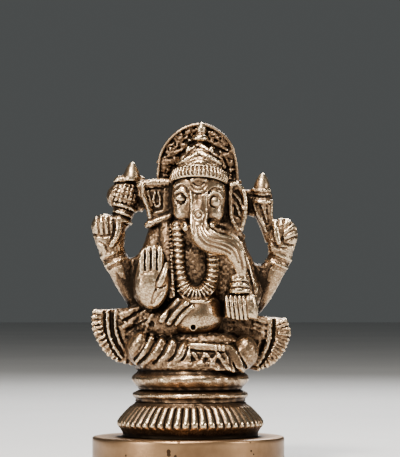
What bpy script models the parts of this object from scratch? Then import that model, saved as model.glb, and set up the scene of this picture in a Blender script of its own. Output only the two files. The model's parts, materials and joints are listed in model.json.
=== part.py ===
"""A cast brass Ganesha idol on a fluted pedestal and a turned base disc.

Blender 4.5 script. Metres, +Z up, front towards -Y, origin at the centre of the base disc's underside.
Sizes below are in millimetres and are scaled by MM where they meet Blender. "right" and "left" in the
part names are the figure's own, so right is towards -X.
"""
import math

import bmesh
import bpy
from mathutils import Matrix, Vector

MM = 0.001

# Driving dimensions, in millimetres.
HEIGHT = 102.4              # base underside to the top of the halo
DISC_RADIUS = 28.8
DISC_HEIGHT = 8.4
PEDESTAL_X = 0.6            # the casting stands a little off the disc's centre
SKIRT_RADIUS = 22.0
SKIRT_TOP = 18.8
RING_RADIUS = 17.6
PEDESTAL_TOP = 28.6
SEAT_TOP = 31.0
FLUTES = 44
HEAD_X = 3.4                # the head sits to the left of the pedestal's axis
HALO_RADIUS = 12.0
CROWN_CENTRE = (HEAD_X, -4.2, 85.6)
CROWN_TURN = (-12, 0, 0)    # the crown leans back
BAND_HALF_HEIGHT = 1.7
GAP = 0.2                   # clearance kept between neighbouring solids
PIN_RADIUS = 2.0
PIN_LOW, PIN_HIGH = 3.0, 15.0

BALL_SEGMENTS = 16
BALL_RINGS = 10
TURNED_STEPS = 44
TURNED_STEPS_SMALL = 14
LIMB_BEVEL_RESOLUTION = 3   # ten sides
LIMB_STEPS = 4              # points between two given ones


# ---------------------------------------------------------------- scene and materials
def clear_scene():
    for old in list(bpy.data.objects):
        bpy.data.objects.remove(old)


def new_collection(name):
    made = bpy.data.collections.new(name)
    bpy.context.scene.collection.children.link(made)
    return made


def metal(name, colour, roughness, metallic=1.0):
    made = bpy.data.materials.new(name)
    made.use_nodes = True
    shader = made.node_tree.nodes["Principled BSDF"]
    shader.inputs["Base Color"].default_value = (*colour, 1.0)
    shader.inputs["Roughness"].default_value = roughness
    shader.inputs["Metallic"].default_value = metallic
    made.diffuse_color = (*colour, 1.0)
    return made


clear_scene()
IDOL = new_collection("ganesha_idol")
CUTTERS = new_collection("cutters")
CAST = metal("cast_antique_brass", (0.42, 0.32, 0.22), 0.38)
WORN = metal("worn_antique_brass", (0.60, 0.49, 0.36), 0.30)
TURNED = metal("turned_antique_brass", (0.50, 0.40, 0.29), 0.34)
STEEL = metal("pin_steel", (0.45, 0.45, 0.46), 0.35)


# ---------------------------------------------------------------- shapes
def vec(point):
    return Vector(point) * MM


def place(name, mesh, finish, centre=(0, 0, 0), turn=(0, 0, 0)):
    """Links a mesh as a named part, with its origin at centre and turned by degrees about X, Y and Z."""
    made = bpy.data.objects.new(name, mesh)
    IDOL.objects.link(made)
    made.location = vec(centre)
    made.rotation_euler = [math.radians(angle) for angle in turn]
    mesh.materials.append(finish)
    for polygon in mesh.polygons:
        polygon.use_smooth = True
    mesh.set_sharp_from_angle(angle=math.radians(50))
    return made


def ball(name, finish, centre, radii, turn=(0, 0, 0)):
    """An ellipsoid."""
    shape = bmesh.new()
    bmesh.ops.create_uvsphere(shape, u_segments=BALL_SEGMENTS, v_segments=BALL_RINGS, radius=1.0)
    bmesh.ops.transform(shape, matrix=Matrix.Diagonal([r * MM for r in radii]).to_4x4(), verts=shape.verts)
    mesh = bpy.data.meshes.new(name)
    shape.to_mesh(mesh)
    shape.free()
    return place(name, mesh, finish, centre, turn)


def turned(name, finish, profile, centre=(0, 0, 0), turn=(0, 0, 0), steps=TURNED_STEPS_SMALL, depth=1.0):
    """A solid of revolution about its own Z. The profile runs down, from the axis at the top to the axis
    at the bottom, as (radius, height). depth squeezes it along Y."""
    mesh = bpy.data.meshes.new(name)
    points = [(radius * MM, 0.0, height * MM) for radius, height in profile]
    mesh.from_pydata(points, [(i, i + 1) for i in range(len(points) - 1)], [])
    made = place(name, mesh, finish, centre, turn)
    screw = made.modifiers.new("turn", "SCREW")
    screw.steps = screw.render_steps = steps
    screw.use_merge_vertices = True
    screw.merge_threshold = 0.00001
    bake(made)
    made.data.transform(Matrix.Diagonal((1.0, depth, 1.0, 1.0)))
    return made


def evaluated_mesh(source, name):
    """The mesh that Blender makes of an object with its modifiers, with loose caps welded on."""
    graph = bpy.context.evaluated_depsgraph_get()
    mesh = bpy.data.meshes.new_from_object(source.evaluated_get(graph))
    mesh.name = name
    shape = bmesh.new()
    shape.from_mesh(mesh)
    bmesh.ops.remove_doubles(shape, verts=shape.verts, dist=0.000005)
    bmesh.ops.recalc_face_normals(shape, faces=shape.faces)
    shape.to_mesh(mesh)
    shape.free()
    return mesh


def bake(made):
    """Applies a part's modifiers."""
    made.data = evaluated_mesh(made, made.name)
    made.modifiers.clear()


def mesh_of_curve(curve_object, finish):
    """Turns a curve object into a mesh part of the same name."""
    name = curve_object.name
    curve_object.name = name + "_curve"
    mesh = evaluated_mesh(curve_object, name)
    mesh.materials.clear()
    made = place(name, mesh, finish)
    made.matrix_world = curve_object.matrix_world
    bpy.data.objects.remove(curve_object)
    return made


def smooth_route(points):
    """Catmull-Rom points through the given (x, y, z, radius) ones."""
    ends = [points[0]] + list(points) + [points[-1]]
    route = []
    for a, b, c, d in zip(ends, ends[1:], ends[2:], ends[3:]):
        for step in range(LIMB_STEPS):
            t = step / LIMB_STEPS
            route.append([
                0.5 * (2 * q + (r - p) * t + (2 * p - 5 * q + 4 * r - s) * t * t
                       + (3 * q - p - 3 * r + s) * t ** 3)
                for p, q, r, s in zip(a, b, c, d)
            ])
    route.append(list(points[-1]))
    return route


def rounded_ends(route, shares=(0.55, 0.9)):
    """Narrows the first and last points of a route, so that a limb ends in a dome and not in a disc."""
    for share, head, tail in zip(shares, (0, 1), (-1, -2)):
        route[head][3] *= share
        route[tail][3] *= share
    return route


def limb(name, finish, points, flatness=1.0):
    """A tube through (x, y, z, radius) points. flatness squeezes its section along the tube's normal."""
    route = rounded_ends(smooth_route(points))
    curve = bpy.data.curves.new(name, "CURVE")
    curve.dimensions = "3D"
    curve.bevel_depth = MM
    curve.bevel_resolution = LIMB_BEVEL_RESOLUTION
    curve.use_fill_caps = True
    line = curve.splines.new("POLY")
    line.points.add(len(route) - 1)
    for point, (x, y, z, radius) in zip(line.points, route):
        point.co = (x * MM, y * MM / flatness, z * MM, 1.0)
        point.radius = radius
    made = bpy.data.objects.new(name, curve)
    IDOL.objects.link(made)
    made.scale = (1.0, flatness, 1.0)
    bpy.context.view_layer.update()
    made = mesh_of_curve(made, finish)
    made.data.transform(Matrix.Diagonal((1.0, flatness, 1.0, 1.0)))
    made.matrix_world = Matrix.Identity(4)
    return made


def plate(name, finish, outline, front, back, edge=0.6):
    """A flat outline in XZ, given in (x, z), between two depths, with chamfered edges."""
    curve = bpy.data.curves.new(name, "CURVE")
    curve.dimensions = "2D"
    curve.fill_mode = "BOTH"
    curve.extrude = ((back - front) / 2 - edge) * MM
    curve.bevel_depth = edge * MM
    curve.bevel_resolution = 0
    curve.offset = -edge * MM
    line = curve.splines.new("POLY")
    line.points.add(len(outline) - 1)
    for point, (x, z) in zip(line.points, outline):
        point.co = (x * MM, z * MM, 0.0, 1.0)
    line.use_cyclic_u = True
    made = bpy.data.objects.new(name, curve)
    IDOL.objects.link(made)
    made.rotation_euler = (math.pi / 2, 0.0, 0.0)
    made.location = (0.0, (front + back) / 2 * MM, 0.0)
    bpy.context.view_layer.update()
    return mesh_of_curve(made, finish)


def arc(centre, radius, start, stop, steps):
    """Points of an arc in XZ, from one angle to another, in degrees from +X towards +Z."""
    angles = [math.radians(start + (stop - start) * i / steps) for i in range(steps + 1)]
    return [(centre[0] + radius * math.cos(a), centre[1] + radius * math.sin(a)) for a in angles]


# ---------------------------------------------------------------- joining and seating
def boolean(piece, other, operation):
    cut = piece.modifiers.new(other.name[:40], "BOOLEAN")
    cut.operation = operation
    cut.solver = "EXACT"
    cut.object = other


def as_cutter(made):
    IDOL.objects.unlink(made)
    CUTTERS.objects.link(made)
    made.hide_render = True
    made.display_type = "WIRE"
    return made


def join(piece, *others):
    """Fuses helper shapes into a part."""
    for other in others:
        boolean(piece, other, "UNION")
        as_cutter(other)
    bpy.context.view_layer.update()
    bake(piece)
    return piece


def grown_copy(piece):
    """A cutter a GAP larger than the part all round."""
    name = "space_of_" + piece.name
    if name in bpy.data.objects:
        return bpy.data.objects[name]
    made = piece.copy()
    made.data = piece.data.copy()
    made.modifiers.clear()
    made.name = name
    IDOL.objects.link(made)
    grow = made.modifiers.new("grow", "DISPLACE")
    grow.strength = GAP * MM
    grow.mid_level = 0.0
    return as_cutter(made)


def seat(piece, *others):
    """Cuts a part back, so that it rests a GAP away from the parts it meets."""
    for other in others:
        boolean(piece, grown_copy(other), "DIFFERENCE")
    return piece


# ---------------------------------------------------------------- base and pedestal
def base_disc():
    """The turned disc, plain below, with a blind hole above for the fixing pin."""
    edge = 0.7
    r, h = DISC_RADIUS, DISC_HEIGHT
    hole, floor = PIN_RADIUS + GAP, PIN_LOW - GAP
    profile = [(0, floor), (hole, floor), (hole, h), (r - edge, h), (r - edge * 0.3, h - edge * 0.3),
               (r, h - edge), (r, edge * 0.6), (r - edge * 0.6, 0), (0, 0)]
    return turned("base_disc", TURNED, profile, steps=72)


def fixing_pin():
    """The dowel that holds the casting on the disc, hidden in both."""
    chamfer = 0.4
    profile = [(0, PIN_HIGH), (PIN_RADIUS - chamfer, PIN_HIGH), (PIN_RADIUS, PIN_HIGH - chamfer),
               (PIN_RADIUS, PIN_LOW + chamfer), (PIN_RADIUS - chamfer, PIN_LOW), (0, PIN_LOW)]
    return turned("fixing_pin", STEEL, profile)


def pin_space():
    """The hole that the pedestal keeps for the pin."""
    radius, top = PIN_RADIUS + GAP, PIN_HIGH + GAP
    return as_cutter(turned("pin_space", STEEL, [(0, top), (radius, top), (radius, 0), (0, 0)]))


def pedestal_skirt(hole):
    """The flared, fluted foot: a turned shape whose alternate edges stand proud between two heights."""
    floor, lip_low, lip_high = DISC_HEIGHT + GAP, 10.6, 12.6
    crest, neck = SKIRT_RADIUS, RING_RADIUS - 0.9
    flute_depth = 0.55
    profile = [(0, SKIRT_TOP), (neck, SKIRT_TOP), (neck + 0.7, SKIRT_TOP - 0.9), (crest - 1.8, 15.0),
               (crest, lip_high), (crest - 0.2, lip_low), (crest - 1.6, floor), (0, floor)]
    skirt = turned("pedestal_skirt", WORN, profile, centre=(PEDESTAL_X, 0, 0), steps=2 * FLUTES)
    for vertex in skirt.data.vertices:
        radius = math.hypot(vertex.co.x, vertex.co.y)
        fluted = (lip_low - 0.1) * MM < vertex.co.z < (SKIRT_TOP - 0.5) * MM
        turn = math.atan2(vertex.co.y, vertex.co.x) / (math.pi / FLUTES)
        if fluted and round(turn) % 2:
            vertex.co.xy *= 1.0 - flute_depth * MM / radius
    boolean(skirt, hole, "DIFFERENCE")
    return skirt


def pedestal_ring(name, low, high, radius, waist):
    """One torus moulding of the pedestal, with a flat underside and top."""
    middle = (low + high) / 2
    half = (high - low) / 2
    profile = [(0, high), (waist, high)]
    for angle in (60, 30, 0, -30, -60):
        swell = math.cos(math.radians(angle)) ** 0.7
        profile.append((waist + (radius - waist) * swell, middle + half * math.sin(math.radians(angle))))
    profile += [(waist, low), (0, low)]
    return turned(name, WORN, profile, centre=(PEDESTAL_X, 0, 0), steps=TURNED_STEPS)


def seat_plate():
    profile = [(0, SEAT_TOP), (16.6, SEAT_TOP), (17.6, SEAT_TOP - 0.9), (17.2, PEDESTAL_TOP + GAP),
               (0, PEDESTAL_TOP + GAP)]
    return turned("seat_plate", CAST, profile, centre=(PEDESTAL_X, -0.4, 0), steps=32, depth=0.86)


# ---------------------------------------------------------------- body
def torso():
    """Chest, back and hips as one swelling form."""
    hips = ball("torso", CAST, (1.4, 2.2, 42.4), (13.0, 9.4, 11.3))
    waist = ball("waist_form", CAST, (2.0, 1.4, 51.0), (11.8, 8.6, 12.0))
    chest = ball("chest_form", CAST, (2.6, 0.6, 60.6), (12.8, 8.4, 12.2))
    return join(hips, waist, chest)


def belly():
    return ball("belly", WORN, (2.6, -6.8, 46.6), (8.8, 6.9, 8.4), (8, 0, 0))


def legs():
    right = limb("leg_right", CAST, [
        (-7.5, 7.5, 35.6, 4.4), (-13.0, 2.5, 35.4, 4.7), (-14.0, -4.5, 35.0, 4.6), (-8.5, -10.0, 34.4, 4.3),
        (-2.4, -12.0, 34.0, 3.4)])
    left = limb("leg_left", CAST, [
        (10.0, 7.5, 34.8, 4.2), (15.5, 3.0, 34.5, 4.4), (16.7, -4.0, 34.0, 4.5), (13.4, -10.0, 33.6, 4.0)])
    foot = limb("foot_left", WORN, [
        (11.2, -13.2, 35.4, 1.5), (6.8, -14.0, 36.0, 1.7), (1.2, -14.3, 36.5, 1.5)])
    pleats = plate("dhoti_pleats", CAST, [
        (0.2, 31.2), (13.2, 31.2), (11.6, 33.6), (1.0, 34.6)], -15.2, -11.0, 0.4)
    return right, left, foot, pleats


def side_fans():
    """The spread ends of the seat cloth, like two fans behind the knees."""
    rim_right = arc((-17.6, 43.2), 11.3, 163, 262, 9)
    rim_left = arc((19.0, 40.4), 11.5, 16, -86, 9)
    right = plate("seat_fan_right", CAST, [(-14.8, 46.6), *rim_right, (-14.8, 31.4)], -4.0, 6.0, 0.9)
    left = plate("seat_fan_left", CAST, [(17.6, 43.6), *rim_left, (17.6, 29.2)], -4.0, 6.0, 0.9)
    return right, left


def waist_drapes():
    """The cloth gathered from each hip out to its fan."""
    right = limb("waist_drape_right", CAST, [
        (-8.0, -5.6, 39.6, 3.0), (-12.4, -4.6, 41.6, 3.6), (-17.4, -4.4, 42.6, 3.2), (-21.4, -4.4, 43.6, 2.2)])
    left = limb("waist_drape_left", CAST, [
        (10.8, -5.6, 39.2, 3.0), (15.4, -4.6, 40.4, 3.4), (20.4, -4.4, 40.4, 3.0), (24.6, -4.4, 40.6, 2.0)])
    return right, left


# ---------------------------------------------------------------- head and crown
def head():
    skull = ball("head", WORN, (HEAD_X, -3.6, 79.6), (7.5, 8.6, 8.6))
    cheeks = [ball("cheek_form_" + side, WORN, (HEAD_X + dx, -7.0, 74.4), (3.9, 4.2, 4.6))
              for side, dx in (("right", -3.7), ("left", 3.7))]
    return join(skull, *cheeks)


def trunk():
    return limb("trunk", WORN, [
        (HEAD_X, -11.2, 80.6, 2.4), (HEAD_X - 0.4, -14.0, 76.0, 2.7), (HEAD_X - 0.5, -15.6, 70.4, 2.7),
        (5.0, -16.0, 66.8, 2.6), (9.4, -15.6, 65.0, 2.4), (13.2, -15.0, 62.8, 2.1), (15.4, -14.0, 59.4, 1.8),
        (15.8, -12.6, 57.0, 1.5)])


def tusk(name, x, tilt):
    """A short tusk stump beside the trunk. The right one is whole and the left one is broken short."""
    return limb(name, WORN, [(x, -10.8, 73.4, 1.2), (x + tilt, -13.6, 72.0, 1.0), (x + 1.6 * tilt, -15.2, 71.2, 0.7)])


def ears():
    right = plate("ear_right", CAST, [
        (-14.3, 84.4), (-14.2, 80.6), (-12.4, 76.8), (-11.2, 73.2), (-6.6, 72.8), (-3.6, 75.0), (-3.4, 84.6)],
        -4.6, -0.4, 0.8)
    left = plate("ear_left", CAST, [
        (10.2, 83.4), (13.8, 85.0), (16.8, 82.0), (17.2, 77.4), (15.8, 74.0), (16.6, 69.2), (13.0, 70.4),
        (10.2, 74.4)], -4.6, -0.4, 0.8)
    return right, left


def crown_band():
    """The beaded band round the brow, higher at the middle than at the temples."""
    h = BAND_HALF_HEIGHT
    profile = [(0, h), (7.9, h), (8.6, h / 2), (8.6, -h / 2), (7.9, -h), (0, -h)]
    return turned("crown_band", WORN, profile, CROWN_CENTRE, CROWN_TURN, steps=28)


def crown_tiers():
    base = BAND_HALF_HEIGHT + GAP
    profile = [(0, 11.0), (1.7, 10.8), (2.8, 9.7), (2.2, 8.6), (3.6, 8.0), (5.4, 5.4), (7.2, 3.2), (7.4, base),
               (0, base)]
    return turned("crown_tiers", WORN, profile, CROWN_CENTRE, CROWN_TURN, steps=20)


def crown_finial():
    profile = [(0, 15.7), (0.6, 15.2), (1.4, 13.6), (1.0, 12.2), (1.5, 11.0 + GAP), (0, 11.0 + GAP)]
    return turned("crown_finial", WORN, profile, CROWN_CENTRE, CROWN_TURN, steps=12)


def halo():
    """The scrollwork hood behind the crown, an arch with straight sides."""
    foot = 78.0
    outline = arc((HEAD_X - 0.4, HEIGHT - HALO_RADIUS), HALO_RADIUS, 0, 180, 18)
    outline += [(HEAD_X - 0.4 - HALO_RADIUS, foot), (HEAD_X - 0.4 + HALO_RADIUS, foot)]
    return plate("halo", CAST, outline, 0.2, 5.0, 1.0)


# ---------------------------------------------------------------- arms, hands and what they hold
def front_arms():
    right = limb("front_arm_right", CAST, [
        (-6.5, 0.0, 69.0, 3.6), (-11.6, 1.0, 61.0, 3.7), (-14.0, -1.5, 52.6, 3.5), (-11.6, -7.0, 48.8, 3.1)])
    left = limb("front_arm_left", CAST, [
        (12.6, 0.0, 68.0, 3.5), (17.2, 1.0, 60.0, 3.5), (19.4, -1.5, 50.6, 3.4), (16.8, -6.6, 46.4, 3.0)])
    return right, left


def rear_arm(side, shoulder, elbow, wrist):
    """The upper arm runs down behind the front one, and the forearm rises outwards from the elbow."""
    forearm = limb("rear_arm_" + side, WORN, [(*elbow, 3.0), (*(Vector(elbow).lerp(wrist, 0.5)), 2.9), (*wrist, 2.5)])
    return join(forearm, limb("upper_arm_form_" + side, WORN, [(*shoulder, 3.4), (*elbow, 3.2)]))


def arm_webs():
    """The thin metal left between each raised forearm and the body, below the two openings."""
    right = plate("arm_web_right", CAST, [
        (-12.6, 64.4), (-15.4, 62.8), (-17.8, 61.9), (-20.4, 61.4), (-19.8, 56.0), (-18.0, 53.4), (-12.6, 53.4)],
        2.4, 4.8, 0.4)
    left = plate("arm_web_left", CAST, [
        (16.8, 62.4), (19.0, 60.9), (21.6, 60.7), (24.8, 61.0), (24.4, 56.0), (23.0, 53.6), (16.8, 53.6)],
        2.4, 4.8, 0.4)
    return right, left


def bangle(side, wrist, tilt):
    profile = [(0, 1.9), (2.7, 1.9), (3.3, 1.4), (3.0, 0.0), (3.3, -1.4), (2.7, -1.9), (0, -1.9)]
    return turned("bangle_" + side, WORN, profile, centre=wrist, turn=(0, tilt, 0))


def blessing_hand():
    """The open right palm raised towards the viewer, on the end of the forearm."""
    palm = ball("blessing_hand", WORN, (-10.6, -11.6, 54.0), (4.6, 3.1, 6.9), (-6, 0, 0))
    fingers = plate("fingers_form", WORN, [
        (-14.6, 56.0), (-14.4, 61.4), (-12.6, 64.2), (-8.6, 64.6), (-7.6, 62.0), (-7.4, 56.0)], -13.2, -9.8, 0.7)
    return join(palm, fingers)


def holding_hand():
    return plate("holding_hand", WORN, [
        (11.4, 44.2), (11.2, 50.4), (12.4, 51.4), (18.4, 51.4), (19.4, 50.2), (19.0, 44.0), (17.6, 43.4),
        (12.6, 43.4)], -14.6, -7.6, 1.4)


def sweet_bowl():
    profile = [(0, 2.2), (3.0, 2.2), (3.4, 1.5), (2.8, 0.2), (3.2, -0.7), (2.4, -2.0), (0, -2.0)]
    return turned("sweet_bowl", WORN, profile, centre=(15.3, -11.4, 53.8))


def sweets():
    return ball("sweets", WORN, (15.4, -10.8, 56.6), (2.6, 2.4, 1.5))


def mace():
    """The knobbed club in the raised right hand, and its pointed tip."""
    lean = 10.0
    head_profile = [(0, 6.6), (1.9, 6.2), (2.6, 5.0), (2.0, 4.0), (3.9, 3.2), (4.8, 1.0), (4.6, -1.4), (3.4, -3.4),
                    (2.4, -4.0), (3.0, -5.0), (2.4, -6.8), (1.8, -7.6), (1.8, -10.0), (0, -10.0)]
    club = turned("mace_head", CAST, head_profile, centre=(-19.4, 1.6, 80.4), turn=(0, lean, 0), steps=16)
    tip_profile = [(0, 2.6), (0.5, 2.1), (1.9, -0.6), (1.6, -1.9), (0, -1.9)]
    tip = turned("mace_tip", WORN, tip_profile, centre=(-17.4, 1.6, 88.4), turn=(0, lean * 0.4, 0))
    return club, tip


def goad():
    """The cup-shaped goad in the raised left hand, and its pointed tip."""
    lean = -14.0
    cup_profile = [(0, 4.1), (2.7, 4.1), (3.1, 3.3), (2.7, 2.5), (3.2, 1.7), (3.1, -0.4), (2.2, -5.0), (1.3, -9.6),
                   (0, -9.6)]
    cup = turned("goad_head", CAST, cup_profile, centre=(22.4, 1.6, 78.6), turn=(0, lean, 0), steps=16)
    tip_profile = [(0, 2.7), (0.5, 2.2), (2.1, -0.8), (1.8, -1.8), (0, -1.8)]
    tip = turned("goad_tip", WORN, tip_profile, centre=(21.9, 1.6, 85.1), turn=(0, 4, 0))
    return cup, tip


def raised_hand(side, centre, radii, tilt):
    return ball("raised_hand_" + side, WORN, centre, radii, (0, tilt, 0))


# ---------------------------------------------------------------- ornaments
def garland():
    return limb("garland", WORN, [
        (-3.4, -8.6, 70.2, 1.7), (-3.0, -10.6, 65.0, 1.7), (-2.8, -11.6, 60.0, 1.7), (-1.9, -13.2, 54.6, 1.7),
        (0.4, -14.6, 51.6, 1.7), (2.6, -14.9, 50.7, 1.7), (5.0, -14.4, 51.7, 1.7), (7.0, -12.9, 54.8, 1.7),
        (7.5, -11.6, 58.6, 1.7), (7.2, -10.8, 62.0, 1.7)])


def shawl_right():
    return limb("shawl_right", CAST, [
        (-7.4, -4.2, 72.6, 1.8), (-7.4, -7.4, 66.6, 1.8), (-6.2, -9.6, 59.0, 1.6), (-4.8, -10.9, 51.4, 1.4)])


def waist_sash():
    return limb("waist_sash", CAST, [
        (-6.8, -9.4, 41.0, 1.7), (-4.6, -11.8, 44.0, 1.7), (-1.6, -13.4, 47.0, 1.5)])


# ---------------------------------------------------------------- assembly
def build():
    base_disc()
    fixing_pin()
    pedestal_skirt(pin_space())
    pedestal_ring("pedestal_ring_lower", SKIRT_TOP + GAP, 22.4, RING_RADIUS - 0.2, 16.2)
    pedestal_ring("pedestal_ring_upper", 22.4 + GAP, PEDESTAL_TOP, RING_RADIUS, 15.9)
    plate_under = seat_plate()

    body = torso()
    paunch = seat(belly(), body)
    seat(body, plate_under)
    leg_right, leg_left, foot, pleats = legs()
    for leg in (leg_right, leg_left):
        seat(leg, plate_under, body, paunch)
    seat(pleats, plate_under, leg_right, leg_left)
    seat(foot, leg_right, leg_left, pleats, paunch)
    fan_right, fan_left = side_fans()
    seat(fan_right, plate_under, leg_right, body)
    seat(fan_left, plate_under, leg_left, body)
    drape_right, drape_left = waist_drapes()

    skull = head()
    seat(skull, body)
    ear_right, ear_left = ears()
    seat(ear_right, skull, body)
    seat(ear_left, skull, body)
    band = seat(crown_band(), skull, ear_right, ear_left)
    tiers = seat(crown_tiers(), skull, band)
    finial = crown_finial()
    seat(halo(), skull, band, tiers, finial, ear_right, ear_left)
    nose = seat(trunk(), skull)
    seat(tusk("tusk_right", HEAD_X - 4.2, -0.4), skull, nose)
    seat(tusk("tusk_left", HEAD_X + 4.2, 0.4), skull, nose)

    arm_right, arm_left = front_arms()
    for arm in (arm_right, arm_left):
        seat(arm, body, paunch, skull, ear_right, ear_left)
    palm = seat(blessing_hand(), arm_right, body, paunch)
    fist = seat(holding_hand(), arm_left, body, paunch)
    bowl = seat(sweet_bowl(), fist, body)
    seat(sweets(), bowl, nose, body)
    seat(drape_right, body, leg_right, fan_right, arm_right, palm)
    seat(drape_left, body, leg_left, fan_left, arm_left, fist)

    wrist_right, wrist_left = (-22.3, 2.4, 61.6), (27.2, 2.4, 61.0)
    rear_right = rear_arm("right", (-9.0, 6.5, 62.0), (-15.2, 4.2, 48.6), (-22.8, 2.3, 62.8))
    rear_left = rear_arm("left", (14.6, 6.5, 61.0), (20.0, 4.2, 48.2), (27.8, 2.3, 62.2))
    for rear, front, fan, drape in ((rear_right, arm_right, fan_right, drape_right),
                                    (rear_left, arm_left, fan_left, drape_left)):
        seat(rear, body, front, fan, drape)
    web_right, web_left = arm_webs()
    seat(web_right, body, arm_right, rear_right, palm)
    seat(web_left, body, arm_left, rear_left, fist)
    cuff_right = seat(bangle("right", wrist_right, -28), rear_right)
    cuff_left = seat(bangle("left", wrist_left, 30), rear_left)
    seat(web_right, cuff_right)
    seat(web_left, cuff_left)
    hand_right = seat(raised_hand("right", (-24.4, 2.0, 68.8), (4.7, 3.4, 5.7), -18), cuff_right, rear_right)
    hand_left = seat(raised_hand("left", (28.3, 2.0, 68.2), (3.9, 3.4, 5.8), 12), cuff_left, rear_left)
    club, club_tip = mace()
    seat(club, hand_right, ear_right)
    seat(club_tip, club)
    cup, cup_tip = goad()
    seat(cup, hand_left, ear_left)
    seat(cup_tip, cup)

    string = seat(garland(), body, paunch, nose, skull, arm_left)
    seat(shawl_right(), body, arm_right, string, paunch, palm, ear_right, skull)
    seat(waist_sash(), body, paunch, string, palm, drape_right)


build()
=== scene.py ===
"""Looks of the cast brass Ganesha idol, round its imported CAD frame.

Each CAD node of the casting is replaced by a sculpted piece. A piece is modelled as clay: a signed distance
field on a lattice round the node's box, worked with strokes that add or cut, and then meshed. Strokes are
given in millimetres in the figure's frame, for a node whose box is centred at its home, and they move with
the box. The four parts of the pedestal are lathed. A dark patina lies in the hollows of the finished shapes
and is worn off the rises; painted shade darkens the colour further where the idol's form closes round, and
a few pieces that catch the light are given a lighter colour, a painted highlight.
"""
import json
import math

import bpy
import numpy as np
import openvdb
from mathutils import Euler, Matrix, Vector


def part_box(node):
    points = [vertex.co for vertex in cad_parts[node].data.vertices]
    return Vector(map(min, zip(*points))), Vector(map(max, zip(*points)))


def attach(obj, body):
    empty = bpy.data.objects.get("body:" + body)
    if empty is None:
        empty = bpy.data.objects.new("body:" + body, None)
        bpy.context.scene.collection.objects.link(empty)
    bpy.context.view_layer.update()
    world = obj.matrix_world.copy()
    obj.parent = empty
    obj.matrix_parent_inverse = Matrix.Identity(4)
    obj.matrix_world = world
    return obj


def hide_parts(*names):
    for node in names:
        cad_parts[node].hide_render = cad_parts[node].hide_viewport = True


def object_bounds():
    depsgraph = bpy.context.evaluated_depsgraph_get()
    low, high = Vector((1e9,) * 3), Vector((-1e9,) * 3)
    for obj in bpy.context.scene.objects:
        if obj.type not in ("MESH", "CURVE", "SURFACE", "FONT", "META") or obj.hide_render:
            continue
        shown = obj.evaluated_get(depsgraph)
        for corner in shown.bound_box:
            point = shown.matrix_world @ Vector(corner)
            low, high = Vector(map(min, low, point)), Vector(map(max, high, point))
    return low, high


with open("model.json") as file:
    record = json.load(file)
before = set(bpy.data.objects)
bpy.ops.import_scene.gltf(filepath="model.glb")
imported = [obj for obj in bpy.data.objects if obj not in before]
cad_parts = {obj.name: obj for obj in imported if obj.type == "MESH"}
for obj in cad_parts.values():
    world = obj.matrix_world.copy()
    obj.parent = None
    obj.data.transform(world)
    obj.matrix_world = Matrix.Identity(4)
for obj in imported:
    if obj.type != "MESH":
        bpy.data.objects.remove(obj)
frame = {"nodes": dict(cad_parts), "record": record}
CAD_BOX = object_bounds()

MM = 0.001
FAR = 4.0                       # a field's value well outside its shape
PITCH = 0.2                     # lattice spacing of a piece of clay
ROOM = 1.8                      # lattice kept round a node's box
SPARE = 3                       # steps of lattice worked beyond a stroke's reach
TINY = 1e-9                     # keeps divisions away from zero
CLAYS, LATHED = [], []


# ---------------------------------------------------------------- numbers
def smooth_min(a, b, blend):
    """The lower of two fields, with a fillet of about the blend where they meet."""
    if blend <= 0:
        return np.minimum(a, b)
    share = np.clip(0.5 + 0.5 * (b - a) / blend, 0.0, 1.0)
    return b + (a - b) * share - blend * share * (1.0 - share)


def smooth_route(points, step=0.6):
    """Catmull-Rom points about a step apart through the given ones, of any number of columns."""
    points = np.array(points, float)
    ends = np.vstack([points[:1], points, points[-1:]])
    route = []
    for a, b, c, d in zip(ends, ends[1:], ends[2:], ends[3:]):
        count = max(1, int(np.linalg.norm(c[:3] - b[:3]) / step))
        for t in np.arange(count) / count:
            route.append(0.5 * (2 * b + (c - a) * t + (2 * a - 5 * b + 4 * c - d) * t ** 2
                + (3 * b - a - 3 * c + d) * t ** 3))
    return np.array(route + [points[-1]])


def outline_distance(outline, x, z):
    """Signed distance to a closed outline in a plane, negative inside."""
    inside = np.zeros(np.broadcast(x, z).shape, bool)
    nearest = np.full(inside.shape, np.inf)
    for (ax, az), (bx, bz) in zip(outline, outline[1:] + outline[:1]):
        ex, ez, wx, wz = bx - ax, bz - az, x - ax, z - az
        along = np.clip((wx * ex + wz * ez) / (ex * ex + ez * ez + 1e-12), 0.0, 1.0)
        nearest = np.minimum(nearest, (wx - ex * along) ** 2 + (wz - ez * along) ** 2)
        if ez:
            inside ^= ((az > z) != (bz > z)) & (wx < ex * wz / ez)
    return np.where(inside, -1.0, 1.0) * np.sqrt(nearest)


def value_noise(shape, cell, seed):
    """Smooth noise about 0 on a lattice, whose features are cell steps wide."""
    made = np.random.default_rng(seed).normal(size=[int(n / cell) + 3 for n in shape])
    for axis, count in enumerate(shape):
        whole, part = np.divmod(np.arange(count) / cell, 1.0)
        part = part * part * (3.0 - 2.0 * part)
        part = part.reshape([-1 if i == axis else 1 for i in range(3)])
        whole = whole.astype(int)
        made = np.take(made, whole, axis) * (1.0 - part) + np.take(made, whole + 1, axis) * part
    return made


def soften(values, radius, passes=2):
    """Box-blurs an array over 2 * radius + 1 steps along each axis, more than once."""
    for axis in [0, 1, 2] * passes:
        pad = [(radius + 1, radius) if i == axis else (0, 0) for i in range(3)]
        total = np.cumsum(np.pad(values, pad, mode="edge"), axis=axis, dtype=np.float64)
        top = np.take(total, range(2 * radius + 1, total.shape[axis]), axis)
        bottom = np.take(total, range(0, total.shape[axis] - 2 * radius - 1), axis)
        values = ((top - bottom) / (2 * radius + 1)).astype(np.float32)
    return values


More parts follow.
